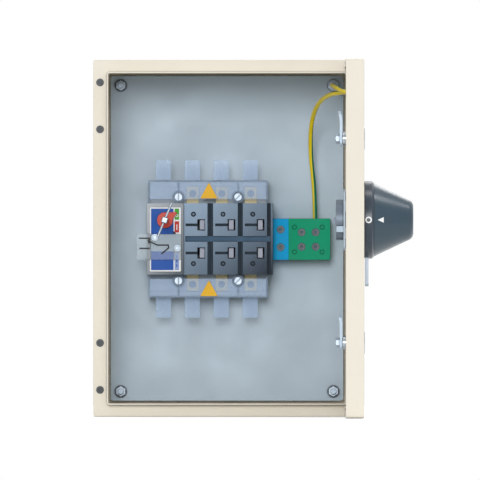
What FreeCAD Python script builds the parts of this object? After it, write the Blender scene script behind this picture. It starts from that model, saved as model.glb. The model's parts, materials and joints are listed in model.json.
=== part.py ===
import FreeCAD, Part
import math
import os

# Enclosed isolator switch: a sheet-steel wall box with its door open, and the switch inside.
# X is to the right, +Y goes into the wall, +Z is up, in millimetres.
# The origin is on the back of the box, in the middle of the wall fixing holes.
# Door pieces are drawn with the door shut and then turned open about the hinge.

V = FreeCAD.Vector

# Box
BOX_W = 300.0
BOX_H = 400.0
BOX_D = 200.0
SHEET = 1.5
OVER = 1.0
CORNER_R = 3.0
RIM_SIDE = 15.5
RIM_END = 13.5
LIP_H = 12.0
WALL_HOLE_R = 4.25
WALL_HOLE_IN_X = 50.0
WALL_HOLE_IN_Z = 25.0
GLAND_CUT_W = 200.0
GLAND_CUT_D = 94.0
GLAND_LAP = 15.0
GLAND_T = 2.0
GLAND_GASKET_T = 2.0
GLAND_CENTRE_Y = -100.0
GLAND_SCREW_R = 2.5
GLAND_HEAD_R = 4.5
GLAND_HEAD_T = 3.0
PLUG_R = 4.25
PLUG_STEM_R = 3.2
PLUG_HEAD_T = 1.0
PLUG_EDGE_T = 0.4
PLUG_BEVEL = 0.5
PLUG_DIMPLE_SLOPE = 0.3
PLUG_TAIL = 0.4
PLUG_DIMPLE_R = 1.9

# Mounting plate
PLATE_GAP = 1.8
PLATE_T = 2.0
PLATE_OFF = 18.0
STUD_IN_X = 11.2
STUD_IN_Z = 10.5
STUD_R = 3.0
STUD_PLAY = 0.3
STUD_COLLAR_R = 6.0
STUD_LENGTH = 34.0
WASHER_R = 7.0
WASHER_T = 1.6
NUT_FLATS = 10.0
NUT_T = 5.0
RING_T = 1.2

# Door and hinges
DOOR_GAP = 2.0
DOOR_DEEP = 20.3
DOOR_SIDE_GAP = 1.0
DOOR_RETURN = 8.0
OPEN_ANGLE = 90.0
HINGE_IN = 7.1
HINGE_FWD = 13.0
HINGE_FROM_TOP = 51.5
HINGE_FROM_BOTTOM = 56.5
HINGE_SCREW_HALF = 26.3
HINGE_WALL_RISE = 4.5
HINGE_SCREW_TAIL = 4.0
SLOT_W = 1.0
SLOT_HALF = 3.0
SLOT_DEEP = 0.8
KNUCKLE_R = 4.2
KNUCKLE_HALF = 8.0
KNUCKLE_GAP = 0.4
KNUCKLE_NOTCH_GAP = 0.7
KNUCKLE_NOTCH_DEEP = 6.5
HINGE_FOOT_IN = 2.4
RELIEF_GAP = 1.0
DOOR_KNUCKLE = 13.0
HINGE_PIN_R = 2.0
PIN_FIT = 0.05
LEAF_T = 2.0
LEAF_HALF_H = 32.0
WEB_T = 2.0
GASKET_W = 9.0
GASKET_OUT_R = 4.0
GASKET_IN_R = 2.0
SOFT_GAP = 0.3
CLEAR = 0.3

# Locks
LOCK_IN = 34.0
LOCK_FROM_TOP = 89.5
LOCK_FROM_BOTTOM = 84.5
LOCK_R = 10.0
LOCK_FLANGE_R = 13.0
LOCK_FLANGE_T = 0.8
LOCK_BEVEL = 0.6
LOCK_NECK_R = 7.6
LOCK_BODY_DEEP = 12.0
LOCK_SHOULDER = 1.0
CORE_R = 6.0
CORE_HEAD_R = 7.5
CORE_HEAD_T = 1.0
CORE_SUNK = 0.2
CORE_SEAT = 1.3
CORE_PLAY = 0.1
KEY_WELL_R = 4.6
KEY_WELL_DEEP = 8.0
KEY_BIT_W = 3.0
KEY_BIT_SUNK = 0.4
KEY_BIT_IN = 0.3
LATCH_T = 3.0
LATCH_W = 12.0
LATCH_REACH = 30.5
LATCH_TAIL = 8.5
LATCH_TIP = 9.0
LATCH_BEND = 1.8
LATCH_FLAT = 1.5
LATCH_NUT_T = 4.4
LATCH_NUT_FLATS = 9.5
LATCH_SQUARE = 8.0
LATCH_STUD_R = 3.0
LATCH_STUD_PROUD = 0.8

# Operating axis, handle and interlock
AXIS_X = -69.9
AXIS_Z = 20.5
FLANGE_R = 43.1
FLANGE_T = 9.9
FLANGE_RUBBER_T = 1.0
FLANGE_RUBBER_IN = 0.6
FLANGE_SCREW_DEEP = 5.0
FLANGE_CHAMFER = 2.2
GRIP_DEEP = 43.6
GRIP_BASE_R = 40.6
GRIP_TIP_R = 20.0
GRIP_ROUND = 8.0
GRIP_WALL = 3.0
GRIP_DISH_R = 11.0
GRIP_DISH_T = 1.0
HUB_R = 12.5
HUB_HOLE_GAP = 1.0
FLANGE_BORE_GAP = 0.5
SOCKET_R = 9.0
SOCKET_SEAT = 2.0
SOCKET_BEVEL = 0.8
SOCKET_PROUD = 0.4
SHAFT_SQUARE = 6.0
SHAFT_ANGLE = 17.0
SOCKET_CLEAR = 0.5
SOCKET_DEEP = 16.0
SHAFT_TIP = -206.0
SHAFT_LEAD = 0.5
CROSS_PIN_R = 1.25
CROSS_PIN_LEN = 41.0
CROSS_PIN_Y = -196.4
CROSS_PIN_ANGLE = 67.5
RING_R = 22.5
RING_CAVE_R = 20.9
RING_LIP_R = 17.0
RING_LIP_T = 2.0
RING_BASE_T = 1.2
RING_SLOT_W = 4.5
RING_HIGH = 8.4
RING_HOLE_GAP = 1.4
NOTCH_IN = 14.0
NOTCH_TOP = -6.6
NOTCH_BOTTOM = -13.9
RING_KEY_OUT = 22.4
RING_KEY_T = 1.8
RING_KEY_LOW = 0.4
HOOK_RISE = 4.3
HOOK_HEEL_RISE = 1.2
HOOK_ROOT_TOP = 3.5
HOOK_TIP_TOP = 0.8
HOOK_TIP_BOTTOM = -2.6
HOOK_HEEL_BOTTOM = -5.3
HOOK_ROOT_BOTTOM = -6.4
HOOK_OUT = 21.6
HOOK_IN = 17.6
BACK_PLATE = 68.0
BACK_PLATE_T = 2.0
BACK_PLATE_RISE = 19.2
BACK_CORNER_R = 4.0
BACK_HOLE_GAP = 0.6
FIX_HALF = 26.0
FIX_R = 2.0
SLEEVE_R = 5.0
TAB_W = 20.0
TAB_T = 3.8
TAB_OUT = 30.7
TAB_IN = 8.0
TAB_TRAVEL = 20.0
TAB_SLOT_W = 8.0
TAB_SLOT_L = 14.0
TAB_SLOT_UP = 4.0
TAB_CORNER_R = 3.0
TINY = 0.05

# Isolator
SW_LEFT = -90.3
SW_SPLIT = -49.0
SW_RIGHT = 51.5
SW_TOP = 39.6
SW_MID_Z = -0.6
SW_BASE_H = 30.0
SW_WALL = 3.0
SW_FLOOR = 4.0
SW_SCREW_IN_LEFT = 12.0
SW_SCREW_IN_RIGHT = 6.0
SW_SCREW_HALF_Z = 28.0
SW_SCREW_HEAD_R = 3.8
SW_SCREW_HEAD_T = 2.4
SW_SCREW_IN = 10.0
SW_BOSS_R = 5.0
SW_BOSS_HIGH = 14.0
SW_BOSS_BORE = 12.0
SHELF_T = 12.0
SHELF_SCREW_DEEP = 8.0
LEDGE_LAP = 6.0
COVER_WALL = 2.5
POLE_FRONT = 72.0
MECH_FRONT = 77.0
CELL_LEFT = (-49.0, -15.7, 17.8)
CELL_RIGHT = (-22.0, 12.1, 44.9)
CHANNEL_DEEP = 4.0
SEAM_HALF = 0.6
SEAM_DEEP = 1.2
EDGE_WALL = 2.2
BAND_TOP = 2.6
BAND_BOTTOM = -3.8
BAND_DEEP = 2.5
BAND_IN = 2.0
FRONT_WALL = 3.0
POLE_PITCH = 32.7
POLE_FIRST_X = -38.7
TERMINAL_W = 13.5
TERMINAL_T = 3.0
TERMINAL_TOP = 58.1
TERMINAL_ROOT = 6.0
TERMINAL_HOLE_R = 4.0
TERMINAL_HOLE_Z = 50.6
JAW_W = 8.4
JAW_LOW = 12.0
JAW_HIGH = 26.0
JAW_GAP = 2.6
JAW_HEEL = 3.0
JAW_LEAD = 0.8
BLADE_T = 2.0
BLADE_W = 5.3
BLADE_HALF = 22.0
BLADE_OFF_SHIFT = 10.75
CRANK_R = 8.0
CRANK_PIN_R = 2.0
CRANK_DISC_R = 11.0
CRANK_DISC_T = 6.0
CRANK_HUB_R = 7.0
CRANK_AHEAD = 4.5
CRANK_PROUD = 1.0
SHAFT_SEAT = 2.0
YOKE_PLAY = 0.6
YOKE_T = 5.0
YOKE_HALF = 9.0
YOKE_GAP = 0.4
BUSH_R = 9.0
BUSH_FLANGE_R = 11.0
BUSH_FLANGE_T = 2.0
BUSH_LONG = 12.0
CAR_HALF_Z = 7.5
CAR_T = 11.2
CAR_GAP = 0.6
CAR_BACK_GAP = 0.8
FLAG_ARM_T = 4.0
FLAG_TIP_GAP = 0.4
FLAG_LOW_EDGE = 9.9
FLAG_HIGH_EDGE = 20.6
PROBE_Z = 27.2
PROBE_R = 2.85
PROBE_POST_R = 1.4
PROBE_IN = 11.2
PROBE_DEEP = 2.6
PROBE_POST_SUNK = 1.2
FLAG_ROOM_LEFT = 3.0
FLAG_ROOM_RIGHT = 1.4
FLAG_ROOM_DEEP = 10.0
FLAG_ROOM_HALF = 30.0
WINDOW_LEFT = 11.4
WINDOW_RIGHT = 2.8
WINDOW_HALF = 6.3
WINDOW_DEEP = 5.0
SLIT_LEFT = 2.3
SLIT_HALF = 1.5
SLIT_DEEP = 2.4
SHROUD_LEFT = -88.8
SHROUD_RIGHT = 46.0
SHROUD_TOP = 65.5
SHROUD_FRONT = 58.0
SHROUD_T = 2.0
SHROUD_LOW = 44.2
SHROUD_BAND = 58.1
SHROUD_STEP = 0.8
RIB_HALF = 0.8
TONGUE_W = 17.3
TONGUE_TOP = 88.3
TONGUE_T = 1.6
TONGUE_R = 1.7
TONGUE_ROOT = 4.0
TONGUE_PITCH = 32.6
TONGUE_FIRST_X = -71.7
TONGUE_DEEP = 41.0
BOSS_X = (-54.7, 12.4)
BOSS_Z = 46.6
BOSS_R = 6.7
BOSS_PROUD = 2.0
BOSS_WELL_R = 5.0
BOSS_WELL_FLOOR = 0.5
COVER_SCREW_R = 4.2
COVER_SCREW_SHANK_R = 2.0
COVER_SCREW_IN = 6.0
COVER_HEAD_T = 1.8
COVER_SLOT_HALF = 0.6
COVER_SLOT_FLOOR = 0.8
COVER_SLOT_TURN = 45.0
TRIANGLE_X = -20.4
TRIANGLE_LOWS = (45.0, -65.0)
TRIANGLE_HALF = 9.8
TRIANGLE_HIGH = 18.0
TRIANGLE_T = 1.0
TRIANGLE_R = 0.8
LABEL_T = 0.5
LABEL_LEFT = -87.0
LABEL_RIGHT = -51.9
LABEL_TOP = 34.9
LABEL_BOTTOM = -37.3
LABEL_R = 1.0
MECH_R = 1.5
POINTER_R = 8.75
POINTER_T = 3.0
POINTER_REACH = 16.1
POINTER_ANGLE = 33.0
POINTER_GAP = 1.3
BEAK_ROOT = 1.0
BEAK_IN = 0.3
BEAK_TIP_BACK = 1.2
BEAK_TIP_UP = 0.4
BEAK_TIP_DOWN = 0.8

# Auxiliary contact cover and conductor blocks
AUX_LEFT = -101.6
AUX_RIGHT = -51.7
AUX_TOP = 4.8
AUX_BOTTOM = -23.9
AUX_T = 2.5
AUX_R = 1.5
AUX_WALL = 1.5
AUX_STEP = 1.0
AUX_INSET = 0.6
AUX_SIDE_DEEP = 34.0
AUX_SCREW_R = 1.5
AUX_HEAD_R = 3.85
AUX_HEAD_T = 1.6
AUX_GROOVE_R = 3.2
AUX_GROOVE_IN = 1.8
AUX_GROOVE_DEEP = 0.6
AUX_SCREWS = ((-81.2, 1.0), (-56.0, -11.0))
BLOCK_TOP = 22.2
BLOCK_BOTTOM = -24.1
BLOCK_D = 42.0
NEUTRAL_RIGHT = 69.3
EARTH_RIGHT = 116.2
NEUTRAL_SCREWS = ((60.4, 10.0), (60.4, -10.0))
EARTH_SCREWS = ((84.1, 6.9), (99.9, 6.9), (84.1, -9.4), (99.9, -9.4))
EARTH_RINGS = ((76.0, 12.6), (107.1, 12.6), (76.0, -15.3), (107.1, -15.3))
NEUTRAL_WIRES = (60.4,)
EARTH_WIRES = (84.1, 99.3)
BLOCK_SCREW_R = 4.5
BLOCK_RING_R = 2.75
BLOCK_RING_IN = 1.9
BLOCK_RING_DEEP = 1.0
BLOCK_BAR_BACK = 12.0
BLOCK_BAR_SIDE = 4.0
CLAMP_R = 2.5
CLAMP_SUNK = 1.5
CLAMP_SOCKET_R = 2.0
BLOCK_BAR_DEEP = 10.0
BLOCK_BAR_MARGIN = 6.0

# Earth wires
WIRE_R = 2.5
WIRE_PLAY = 0.5
LONG_MIDDLE = (
    (99.3, -45.0, 50.0),
    (93.8, -56.0, 96.0),
    (94.6, -88.0, 132.0),
    (102.0, -130.0, 152.0),
    (113.5, -172.0, 161.0),
    (125.0, -208.0, 163.0),
)
LONG_END_RUN = 15.0
SHORT_START_RUN = 30.0
SHORT_MIDDLE = (
    (120.0, -100.0, 171.2),
    (117.6, -137.0, 172.4),
    (119.6, -178.0, 171.2),
    (124.0, -218.0, 168.2),
)
SHORT_END_RUN = 22.0
ARC_SHARE = 0.45
DOOR_STUD_FROM_HINGE = (42.9, 72.9)
DOOR_STUD_FROM_TOP = (36.0, 36.5)
DOOR_STUD_LEN = 11.0
DOOR_STUD_COLLAR = 2.0
DOOR_STUD_COLLAR_R = 5.0
LUG_R = 6.5
LUG_BARREL_R = 3.3
LUG_BARREL_LEN = 11.0
LUG_BORE_DEEP = 4.0
LUG_STRAP_HALF = 2.5
LUG_STRAP_T = 1.6
LUG_BEND_RUN = 3.0
LUG_BARREL_START = 1.5
LUG_STRAP_IN = 4.5
LUG_LOW_OUT = 0.6
LUG_HIGH_OUT = 0.4
DOOR_LUG_TILT = 33.0
DOOR_LUG_START = (8.0, 2.2)
PLATE_LUG_TURN = -45.0
PLATE_LUG_TILT = 85.0
PLATE_LUG_START = (9.4, 1.5)

# Worked-out places
HALF_W = BOX_W / 2
HALF_H = BOX_H / 2
RIM_Y = -BOX_D
RIM_BACK_Y = RIM_Y + SHEET
BACK_IN_Y = -SHEET
WALL_HOLE_X = BOX_W - 2 * WALL_HOLE_IN_X
WALL_HOLE_Z = BOX_H - 2 * WALL_HOLE_IN_Z
LIP_OUT_X = HALF_W - RIM_SIDE
LIP_OUT_Z = HALF_H - RIM_END
LIP_TIP_Y = RIM_Y - LIP_H
PLATE_W = 2 * (LIP_OUT_X - SHEET - PLATE_GAP)
PLATE_H = 2 * (LIP_OUT_Z - SHEET - PLATE_GAP)
STUD_X = PLATE_W - 2 * STUD_IN_X
STUD_Z = PLATE_H - 2 * STUD_IN_Z
PLATE_BACK_Y = -PLATE_OFF
PLATE_Y = PLATE_BACK_Y - PLATE_T
HINGE_X = HALF_W - HINGE_IN
HINGE_Y = RIM_Y - HINGE_FWD
HINGE_HEIGHTS = (HALF_H - HINGE_FROM_TOP, HINGE_FROM_BOTTOM - HALF_H)
LOCK_HEIGHTS = (HALF_H - LOCK_FROM_TOP, LOCK_FROM_BOTTOM - HALF_H)
DOOR_STUDS = [
    (HINGE_X - near, HALF_H - drop) for near, drop in zip(DOOR_STUD_FROM_HINGE, DOOR_STUD_FROM_TOP)
]
CHANNEL_X = (HALF_W + LIP_OUT_X) / 2
DOOR_HALF_W = HALF_W - DOOR_SIDE_GAP
DOOR_HALF_H = HALF_H - DOOR_SIDE_GAP
DOOR_RIM_Y = RIM_Y - DOOR_GAP
DOOR_FACE_Y = DOOR_RIM_Y - DOOR_DEEP
DOOR_IN_Y = DOOR_FACE_Y + SHEET
SW_BOTTOM = 2 * SW_MID_Z - SW_TOP
BASE_Y = PLATE_Y - SW_BASE_H
POLE_Y = PLATE_Y - POLE_FRONT
MECH_Y = PLATE_Y - MECH_FRONT
BAR_Y = BASE_Y - TERMINAL_T
BLADE_Y = BAR_Y - (JAW_GAP - BLADE_T) / 2
CAR_BACK_Y = BASE_Y - CAR_BACK_GAP
CAR_FRONT_Y = CAR_BACK_Y - CAR_T
FLAG_ARM_Y = CAR_FRONT_Y - FLAG_ARM_T
FLAG_TIP_Y = POLE_Y + FRONT_WALL + FLAG_TIP_GAP
CRANK_BACK_Y = CAR_FRONT_Y - CRANK_AHEAD
CRANK_X_OFF = CRANK_R * math.cos(math.radians(45.0))
BLOCK_FRONT_Y = PLATE_Y - BLOCK_D
BAR_FRONT_Y = BLOCK_FRONT_Y + BLOCK_BAR_BACK
WIRE_BLOCK_Y = BAR_FRONT_Y + BLOCK_BAR_DEEP / 2
LONG_START_Z = BLOCK_TOP - BLOCK_BAR_MARGIN
FLANGE_BACK_Y = DOOR_FACE_Y - FLANGE_RUBBER_T
FLANGE_FRONT_Y = FLANGE_BACK_Y - FLANGE_T
GRIP_BACK_Y = FLANGE_FRONT_Y - CLEAR
GRIP_TIP_Y = GRIP_BACK_Y - GRIP_DEEP
BACK_PLATE_Y = DOOR_IN_Y + BACK_PLATE_RISE
RING_BASE_Y = BACK_PLATE_Y + BACK_PLATE_T
RING_TOP_Y = RING_BASE_Y + RING_HIGH
SOCKET_TIP_Y = RING_BASE_Y + SOCKET_PROUD
SOCKET_SEAT_Y = GRIP_BACK_Y - SOCKET_SEAT
TAB_FRONT_Y = FLANGE_BACK_Y - CLEAR - TAB_T
LATCH_FRONT_Y = RIM_BACK_Y + CLEAR
SHROUD_FRONT_Y = PLATE_Y - SHROUD_FRONT
AUX_BACK_Y = MECH_Y - LABEL_T
POLES_X = [POLE_FIRST_X + POLE_PITCH * i for i in range(3)]


def block(x0, x1, y0, y1, z0, z1):
    """A box between six planes."""
    return Part.makeBox(x1 - x0, y1 - y0, z1 - z0, V(x0, y0, z0))


def rounded(x0, x1, y0, y1, z0, z1, radius):
    """A box whose four edges along Y are rounded."""
    solid = block(x0, x1, y0, y1, z0, z1)
    edges = [e for e in solid.Edges if abs(e.tangentAt(e.FirstParameter).y) > 0.99]
    return solid.makeFillet(radius, edges)


def rod(x, z, y0, y1, radius):
    """A round bar along Y."""
    return Part.makeCylinder(radius, y1 - y0, V(x, y0, z), V(0, 1, 0))


def rod_z(x, y, z0, z1, radius):
    """A round bar along Z."""
    return Part.makeCylinder(radius, z1 - z0, V(x, y, z0), V(0, 0, 1))


def tube(x, z, y0, y1, radius, bore):
    """A round tube along Y."""
    return rod(x, z, y0, y1, radius).cut(rod(x, z, y0, y1, bore))


def prism_y(points, y0, y1):
    """A prism along Y from corners given as x, z."""
    corners = [V(x, y0, z) for x, z in points]
    face = Part.Face(Part.makePolygon(corners + corners[:1]))
    return face.extrude(V(0, y1 - y0, 0))


def prism_x(points, x0, x1):
    """A prism along X from corners given as y, z."""
    corners = [V(x0, y, z) for y, z in points]
    face = Part.Face(Part.makePolygon(corners + corners[:1]))
    return face.extrude(V(x1 - x0, 0, 0))


def prism_z(points, z0, z1):
    """A prism along Z from corners given as x, y."""
    corners = [V(x, y, z0) for x, y in points]
    face = Part.Face(Part.makePolygon(corners + corners[:1]))
    return face.extrude(V(0, 0, z1 - z0))


def turned(x, z, profile):
    """A solid of revolution about a line along Y, from corners given as radius, y."""
    corners = [V(x + r, y, z) for r, y in profile]
    face = Part.Face(Part.makePolygon(corners + corners[:1]))
    return face.revolve(V(x, 0, z), V(0, 1, 0), 360)


def hexagon(x, z, y0, y1, flats, bore):
    """A hexagon nut along Y."""
    radius = flats / math.sqrt(3)
    points = []
    for i in range(6):
        angle = math.radians(60 * i + 30)
        points.append((x + radius * math.cos(angle), z + radius * math.sin(angle)))
    return prism_y(points, y0, y1).cut(rod(x, z, y0, y1, bore))


def square_bar(x, z, y0, y1, side, angle):
    """A square bar along Y, turned about its own line."""
    half = side / 2
    bar = block(x - half, x + half, y0, y1, z - half, z + half)
    bar.rotate(V(x, 0, z), V(0, 1, 0), angle)
    return bar


def union(shapes):
    """One solid from several that meet."""
    return shapes[0].multiFuse(shapes[1:]).removeSplitter()


def minus(shape, tools):
    """A solid with several others taken away."""
    for tool in tools:
        shape = shape.cut(tool)
    return shape


def group(shapes):
    """Several separate solids kept together."""
    return Part.makeCompound(shapes)


def mirror_z(shape):
    """The same shape below the middle line of the isolator."""
    return shape.mirror(V(0, 0, SW_MID_Z), V(0, 0, 1))


def opened(shape):
    """A door piece, turned from shut to open about the hinge line."""
    turned_shape = shape.copy()
    turned_shape.rotate(V(HINGE_X, HINGE_Y, 0), V(0, 0, 1), OPEN_ANGLE)
    return turned_shape


def corner_places(spacing_x, spacing_z):
    """The four corners of a pattern about the origin."""
    places = []
    for sx in (-1, 1):
        for sz in (-1, 1):
            places.append((sx * spacing_x / 2, sz * spacing_z / 2))
    return places


# Box

def gland_screw_places():
    half_x = GLAND_CUT_W / 2 + GLAND_LAP / 2
    half_y = GLAND_CUT_D / 2 + GLAND_LAP / 2
    places = []
    for x in (-half_x, 0.0, half_x):
        for y in (-half_y, half_y):
            places.append((x, GLAND_CENTRE_Y + y))
    return places


def gland_frame(z0, z1, inner):
    half_x = GLAND_CUT_W / 2 + GLAND_LAP
    half_y = GLAND_CUT_D / 2 + GLAND_LAP
    plate = block(-half_x, half_x, GLAND_CENTRE_Y - half_y, GLAND_CENTRE_Y + half_y, z0, z1)
    if inner:
        plate = plate.cut(gland_cut(z0, z1))
    return plate


def gland_cut(z0, z1):
    half_x = GLAND_CUT_W / 2
    half_y = GLAND_CUT_D / 2
    return block(-half_x, half_x, GLAND_CENTRE_Y - half_y, GLAND_CENTRE_Y + half_y, z0, z1)


def make_body_shell():
    outer = rounded(-HALF_W, HALF_W, RIM_Y, 0, -HALF_H, HALF_H, CORNER_R)
    inside_w = HALF_W - SHEET
    inside_h = HALF_H - SHEET
    inner_r = CORNER_R - SHEET
    cavity = rounded(-inside_w, inside_w, RIM_BACK_Y, BACK_IN_Y, -inside_h, inside_h, inner_r)
    lip = rounded(-LIP_OUT_X, LIP_OUT_X, LIP_TIP_Y, RIM_BACK_Y, -LIP_OUT_Z, LIP_OUT_Z, CORNER_R)
    mouth_x = LIP_OUT_X - SHEET
    mouth_z = LIP_OUT_Z - SHEET
    mouth = rounded(-mouth_x, mouth_x, LIP_TIP_Y - OVER, RIM_BACK_Y + OVER, -mouth_z, mouth_z, inner_r)
    shell = outer.cut(cavity).fuse(lip).cut(mouth).removeSplitter()
    tools = [gland_cut(-HALF_H - OVER, -inside_h + OVER)]
    for x, z in corner_places(WALL_HOLE_X, WALL_HOLE_Z):
        tools.append(rod(x, z, -SHEET - OVER, OVER, WALL_HOLE_R))
    for x, y in gland_screw_places():
        tools.append(rod_z(x, y, -HALF_H - OVER, -inside_h + OVER, GLAND_SCREW_R))
    for height in HINGE_HEIGHTS:
        for side in (-1, 1):
            z = height + side * HINGE_SCREW_HALF
            tools.append(rod(CHANNEL_X, z, RIM_Y - OVER, RIM_BACK_Y + OVER, FIX_R))
            tools.append(rod(-CHANNEL_X, z, RIM_Y - OVER, RIM_BACK_Y + OVER, PLUG_STEM_R))
    return minus(shell, tools)


def make_gland_parts():
    floor_z = -HALF_H + SHEET
    gasket_top = floor_z + GLAND_GASKET_T
    plate_top = gasket_top + GLAND_T
    gasket = gland_frame(floor_z, gasket_top, True)
    plate = gland_frame(gasket_top, plate_top, False)
    screws = []
    for x, y in gland_screw_places():
        hole = rod_z(x, y, floor_z, plate_top, GLAND_SCREW_R)
        gasket = gasket.cut(hole)
        plate = plate.cut(hole)
        head = rod_z(x, y, plate_top, plate_top + GLAND_HEAD_T, GLAND_HEAD_R)
        shank = rod_z(x, y, -HALF_H, plate_top, GLAND_SCREW_R)
        screws.append(union([head, shank]))
    return gasket, plate, group(screws)


def make_rim_plugs():
    plugs = []
    edge_y = RIM_Y - PLUG_EDGE_T
    for height in HINGE_HEIGHTS:
        for side in (-1, 1):
            z = height + side * HINGE_SCREW_HALF
            profile = [
                (0, edge_y),
                (PLUG_DIMPLE_R - PLUG_DIMPLE_SLOPE, edge_y),
                (PLUG_DIMPLE_R, RIM_Y - PLUG_HEAD_T),
                (PLUG_R - PLUG_BEVEL, RIM_Y - PLUG_HEAD_T),
                (PLUG_R, edge_y),
                (PLUG_R, RIM_Y),
                (PLUG_STEM_R, RIM_Y),
                (PLUG_STEM_R, RIM_BACK_Y + PLUG_TAIL),
                (0, RIM_BACK_Y + PLUG_TAIL),
            ]
            plugs.append(turned(-CHANNEL_X, z, profile))
    return group(plugs)


def make_plate_parts():
    plate = rounded(
        -PLATE_W / 2, PLATE_W / 2, PLATE_Y, PLATE_BACK_Y, -PLATE_H / 2, PLATE_H / 2, CORNER_R
    )
    studs = []
    washers = []
    nuts = []
    for x, z in corner_places(STUD_X, STUD_Z):
        plate = plate.cut(rod(x, z, PLATE_Y, PLATE_BACK_Y, STUD_R + STUD_PLAY))
        collar = rod(x, z, PLATE_BACK_Y, BACK_IN_Y, STUD_COLLAR_R)
        shank = rod(x, z, -STUD_LENGTH, PLATE_BACK_Y, STUD_R)
        studs.append(union([collar, shank]))
        washer_y = PLATE_Y - WASHER_T
        washers.append(tube(x, z, washer_y, PLATE_Y, WASHER_R, STUD_R))
        nut_y = washer_y
        if x > 0 and z > 0:
            nut_y = washer_y - RING_T
        nuts.append(hexagon(x, z, nut_y - NUT_T, nut_y, NUT_FLATS, STUD_R))
    for x, z in switch_screw_places():
        plate = plate.cut(rod(x, z, PLATE_Y, PLATE_BACK_Y, FIX_R))
    return plate, group(studs), group(washers), group(nuts)


# Hinges

def driver_slot(x, z, y0):
    """The slot for a screwdriver in a countersunk head."""
    return block(x - SLOT_HALF, x + SLOT_HALF, y0, y0 + SLOT_DEEP, z - SLOT_W / 2, z + SLOT_W / 2)


def make_hinge_body_leaves():
    leaves = []
    screws = []
    half_leaf = (HALF_W - SHEET) - CHANNEL_X
    for height in HINGE_HEIGHTS:
        low = height - LEAF_HALF_H
        high = height + LEAF_HALF_H
        leaf = block(CHANNEL_X - half_leaf, CHANNEL_X + half_leaf, RIM_Y - LEAF_T, RIM_Y, low, high)
        web = block(
            HINGE_X - WEB_T / 2, HINGE_X + WEB_T / 2, HINGE_Y, RIM_Y - LEAF_T,
            height - KNUCKLE_HALF, height + KNUCKLE_HALF
        )
        knuckle = rod_z(HINGE_X, HINGE_Y, height - KNUCKLE_HALF, height + KNUCKLE_HALF, KNUCKLE_R)
        solid = union([leaf, web, knuckle])
        bore = rod_z(HINGE_X, HINGE_Y, low, high, HINGE_PIN_R + PIN_FIT)
        solid = solid.cut(bore)
        for side in (-1, 1):
            z = height + side * HINGE_SCREW_HALF
            face_y = RIM_Y - LEAF_T
            head = Part.makeCone(2 * FIX_R, FIX_R, LEAF_T, V(CHANNEL_X, face_y, z), V(0, 1, 0))
            solid = solid.cut(head)
            slot = driver_slot(CHANNEL_X, z, face_y)
            shank = rod(CHANNEL_X, z, RIM_Y, RIM_BACK_Y + HINGE_SCREW_TAIL, FIX_R)
            screws.append(union([head, shank]).cut(slot))
        leaves.append(solid)
    return group(leaves), group(screws)


def make_hinge_door_parts():
    blocks = []
    pins = []
    wall_x = DOOR_HALF_W - SHEET
    for height in HINGE_HEIGHTS:
        for side in (-1, 1):
            near = height + side * (KNUCKLE_HALF + KNUCKLE_GAP)
            far = near + side * DOOR_KNUCKLE
            z0 = min(near, far)
            z1 = max(near, far)
            foot = block(HINGE_X - HINGE_FOOT_IN, wall_x, DOOR_IN_Y, HINGE_Y, z0, z1)
            eye = rod_z(HINGE_X, HINGE_Y, z0, z1, KNUCKLE_R)
            solid = union([foot, eye]).cut(rod_z(HINGE_X, HINGE_Y, z0, z1, HINGE_PIN_R))
            blocks.append(solid)
        reach = KNUCKLE_HALF + KNUCKLE_GAP + DOOR_KNUCKLE
        pins.append(rod_z(HINGE_X, HINGE_Y, height - reach, height + reach, HINGE_PIN_R))
    return group(blocks), group(pins)


# Door

def lock_places():
    x = -(DOOR_HALF_W - LOCK_IN)
    return [(x, z) for z in LOCK_HEIGHTS]


def fixing_places():
    places = []
    for sx in (-1, 1):
        for sz in (-1, 1):
            places.append((AXIS_X + sx * FIX_HALF, AXIS_Z + sz * FIX_HALF))
    return places


def make_door_panel():
    outer = rounded(
        -DOOR_HALF_W, DOOR_HALF_W, DOOR_FACE_Y, DOOR_RIM_Y, -DOOR_HALF_H, DOOR_HALF_H, CORNER_R
    )
    in_w = DOOR_HALF_W - SHEET
    in_h = DOOR_HALF_H - SHEET
    inner_r = CORNER_R - SHEET
    pan = rounded(-in_w, in_w, DOOR_IN_Y, DOOR_RIM_Y - SHEET, -in_h, in_h, inner_r)
    mouth_x = DOOR_HALF_W - DOOR_RETURN
    mouth_z = DOOR_HALF_H - DOOR_RETURN
    mouth = block(-mouth_x, in_w, DOOR_RIM_Y - SHEET - OVER, DOOR_RIM_Y + OVER, -mouth_z, mouth_z)
    relief_z = LIP_OUT_Z + RELIEF_GAP
    relief = block(
        in_w - OVER, DOOR_HALF_W + OVER, HINGE_Y + HINGE_WALL_RISE, DOOR_RIM_Y + OVER, -relief_z, relief_z
    )
    tools = [pan, mouth, relief]
    for height in HINGE_HEIGHTS:
        half = KNUCKLE_HALF + KNUCKLE_NOTCH_GAP
        notch_y = HINGE_Y - KNUCKLE_NOTCH_DEEP
        tools.append(
            block(in_w - OVER, DOOR_HALF_W + OVER, notch_y, DOOR_RIM_Y + OVER, height - half, height + half)
        )
    for x, z in lock_places():
        tools.append(rod(x, z, DOOR_FACE_Y - OVER, DOOR_IN_Y + OVER, LOCK_R))
    for x, z in fixing_places():
        tools.append(rod(x, z, DOOR_FACE_Y - OVER, DOOR_IN_Y + OVER, FIX_R))
    tools.append(rod(AXIS_X, AXIS_Z, DOOR_FACE_Y - OVER, DOOR_IN_Y + OVER, HUB_R + HUB_HOLE_GAP))
    return minus(outer, tools)


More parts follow.
